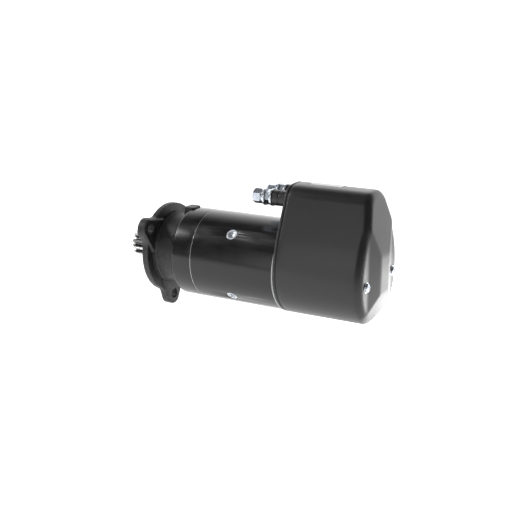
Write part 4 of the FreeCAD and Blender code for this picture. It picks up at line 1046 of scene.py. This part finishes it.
def makeTerminals():
    made = {kind: [] for kind in ("studs", "nuts", "thin_nuts", "washers", "spring_washers", "insulators")}
    stud, flats, bore = terminal["stud"], terminal["flats"], terminal["washerBore"]
    front, mouth, tube = terminal["insulatorFront"], terminal["mouth"], terminal["insulatorBore"]
    wide, narrow = terminal["insulator"], terminal["insulator"] - 0.6
    shank, shankEnd, foot, footEnd = [terminal[key] for key in ("shank", "shankEnd", "foot", "footEnd")]
    plain = [(front + 0.5, 0.02, 0), (front + 0.5, shank, 0), (shankEnd, shank, 0), (shankEnd, foot, 0.3),
             (footEnd, foot, 0.6), (footEnd, 0.02, 0)]
    body = [(front, tube, 0), (front, wide - 0.9, 0.5), (front + 1.0, wide, 0.3), (front + 9.0, wide, 0.3),
            (front + 9.6, narrow, 0.2), (front + 10.6, narrow, 0.2), (front + 11.2, wide, 0.3),
            (mouth, wide, 0), (mouth, tube, 0)]
    for side in (-1, 1):
        at = (side * terminal["y"], terminal["z"])
        turn = 0.02 if side < 0 else 0.45
        made["studs"].append(threadedStud("stud", terminal["tip"], front + 1.0, stud, terminal["pitch"],
                                          terminal["threadDepth"], at))
        made["studs"].append(turnedPiece("stud", plain, "zincPlate", 64, at))
        made["nuts"].append(hexNut("nut", *terminal["nut"], flats, stud, at, turn))
        made["thin_nuts"].append(hexNut("nut", *terminal["thinNut"], flats, stud, at, turn + 0.35))
        for x0, x1 in terminal["washers"]:
            ring = [(x0, bore, 0), (x0, terminal["washer"], 0.5), (x1, terminal["washer"], 0.25),
                    (x1, bore, 0)]
            made["washers"].append(turnedPiece("washer", ring, "zincPlate", 96, at))
        made["spring_washers"].append(springWasher("spring", *terminal["spring"], bore,
                                                   terminal["springRadius"], at, 1.2 + side))
        made["insulators"].append(turnedPiece("insulator", body, "blackMoulding", 96, at))
    for kind, parts in made.items():
        standJoined("terminal_" + kind, parts)


control = {"z": 95.4, "tip": 176.0, "studEnd": 204.0, "stud": 3.0, "pitch": 1.0, "threadDepth": 0.4,
           "nut": (189.9, 194.9), "flats": 10.0, "turn": 0.3, "bore": 3.1, "washer": (194.9, 196.5),
           "washerRadius": 6.0, "insulator": (196.5, 206.5), "insulatorRadius": 7.0}


def makeControlTerminal():
    at = (0.0, control["z"])
    bore = control["bore"]
    stud = threadedStud("control_stud_skin", control["tip"], control["studEnd"], control["stud"],
                        control["pitch"], control["threadDepth"], at)
    stand(stud, "housing", "control_stud")
    nut = hexNut("control_nut_skin", *control["nut"], control["flats"], control["stud"], at, control["turn"])
    stand(nut, "housing", "control_nut")
    x0, x1 = control["washer"]
    r = control["washerRadius"]
    ring = [(x0, bore, 0), (x0, r, 0.3), (x1, r, 0.2), (x1, bore, 0)]
    stand(turnedPiece("control_washer_skin", ring, "zincPlate", 64, at), "housing", "control_washer")
    x0, x1 = control["insulator"]
    r = control["insulatorRadius"]
    body = [(x0, bore, 0), (x0, r - 1.4, 0.6), (x0 + 4.0, r, 0.8), (x1, r, 0), (x1, bore, 0)]
    moulding = turnedPiece("control_insulator_skin", body, "blackMoulding", 64, at)
    stand(moulding, "housing", "control_insulator")


makeTerminals()
makeControlTerminal()
smoothCopy("end_shield", "housing", 0.3, wear=0.0)
print("terminals made")

# pinion
pinion = {"teeth": 11, "module": 3.0, "shift": 0.3, "pressureAngle": 20.0,
          "front": -52.5, "width": 37.0, "bore": 9.0,
          # the front bevel, as (distance from the front, how far inside the tips)
          "bevel": [(0.0, 2.3), (0.4, 1.9), (1.2, 1.2), (2.2, 0.5), (3.2, 0.1), (4.0, 0.0)]}


def toothOutline():
    # involute flanks from the base circle out: the flank angle at radius r is the
    # half tooth angle plus inv(pressure angle) minus inv(acos(base / r))
    pressure = math.radians(pinion["pressureAngle"])
    pitch = pinion["module"] * pinion["teeth"] / 2
    base = pitch * math.cos(pressure)
    root = pitch - (1.25 - pinion["shift"]) * pinion["module"]
    tip = pitch + pinion["module"]
    half = (math.pi / 2 + 2 * pinion["shift"] * math.tan(pressure)) / pinion["teeth"]
    r = np.concatenate([np.linspace(root, base, 4)[:-1], np.linspace(base, tip - 0.25, 10)])
    roll = np.arccos(np.clip(base / np.maximum(r, base), 0, 1))
    flank = half + (math.tan(pressure) - pressure) - (np.tan(roll) - roll)
    flank[:3] += np.array([0.045, 0.015, 0.004])  # the fillet at the root
    tipAngle = flank[-1] - 0.012
    radii = np.concatenate([r, [tip, tip, tip], r[::-1]])
    angles = np.concatenate([-flank, [-tipAngle, 0.0, tipAngle], flank[::-1]])
    step = 2 * math.pi / pinion["teeth"]
    radii = np.tile(radii, pinion["teeth"])
    angles = np.concatenate([angles + i * step for i in range(pinion["teeth"])])
    return radii, angles, tip


def makePinion():
    # tooth outline carried along the axis and trimmed by a bevel at the front:
    # r = min(outline, bevel(x)); bright where the teeth are bevelled and rubbed
    radii, angles, tip = toothOutline()
    front, bore = pinion["front"], pinion["bore"]
    back = front + pinion["width"]
    stations = [(front + x, tip - inside) for x, inside in pinion["bevel"]]
    stations += [(front + 12.0, tip), (back - 12.0, tip), (back - 0.8, tip), (back, tip - 0.7)]
    rows = [pairUp(x, np.minimum(radii, limit)) for x, limit in stations]
    rows += [pairUp(back, bore), pairUp(front + 0.8, bore), pairUp(front, bore + 0.8)]
    rows.append(pairUp(front, np.minimum(radii - 0.35, tip - 2.7)))
    mask = np.zeros((len(rows), len(radii)))
    mask[:5] = 1.0
    mask[-1] = 0.8
    mask[:10] = np.maximum(mask[:10], (radii > tip - 0.3) * 0.75)
    piece = gridPiece("pinion_gear_skin", turnedGrid(rows, angles), "gearSteel", mask, 28.0)
    stand(piece, "pinion", "pinion_gear")


makePinion()
smoothCopy("pinion_shaft", "pinion", 0.2)
smoothCopy("shaft_seal", "housing", 0.15)
smoothCopy("pinion_bearing", "housing", 0.15)
smoothCopy("engaging_rod", "engaging_gear", 0.15)
print("pinion made")
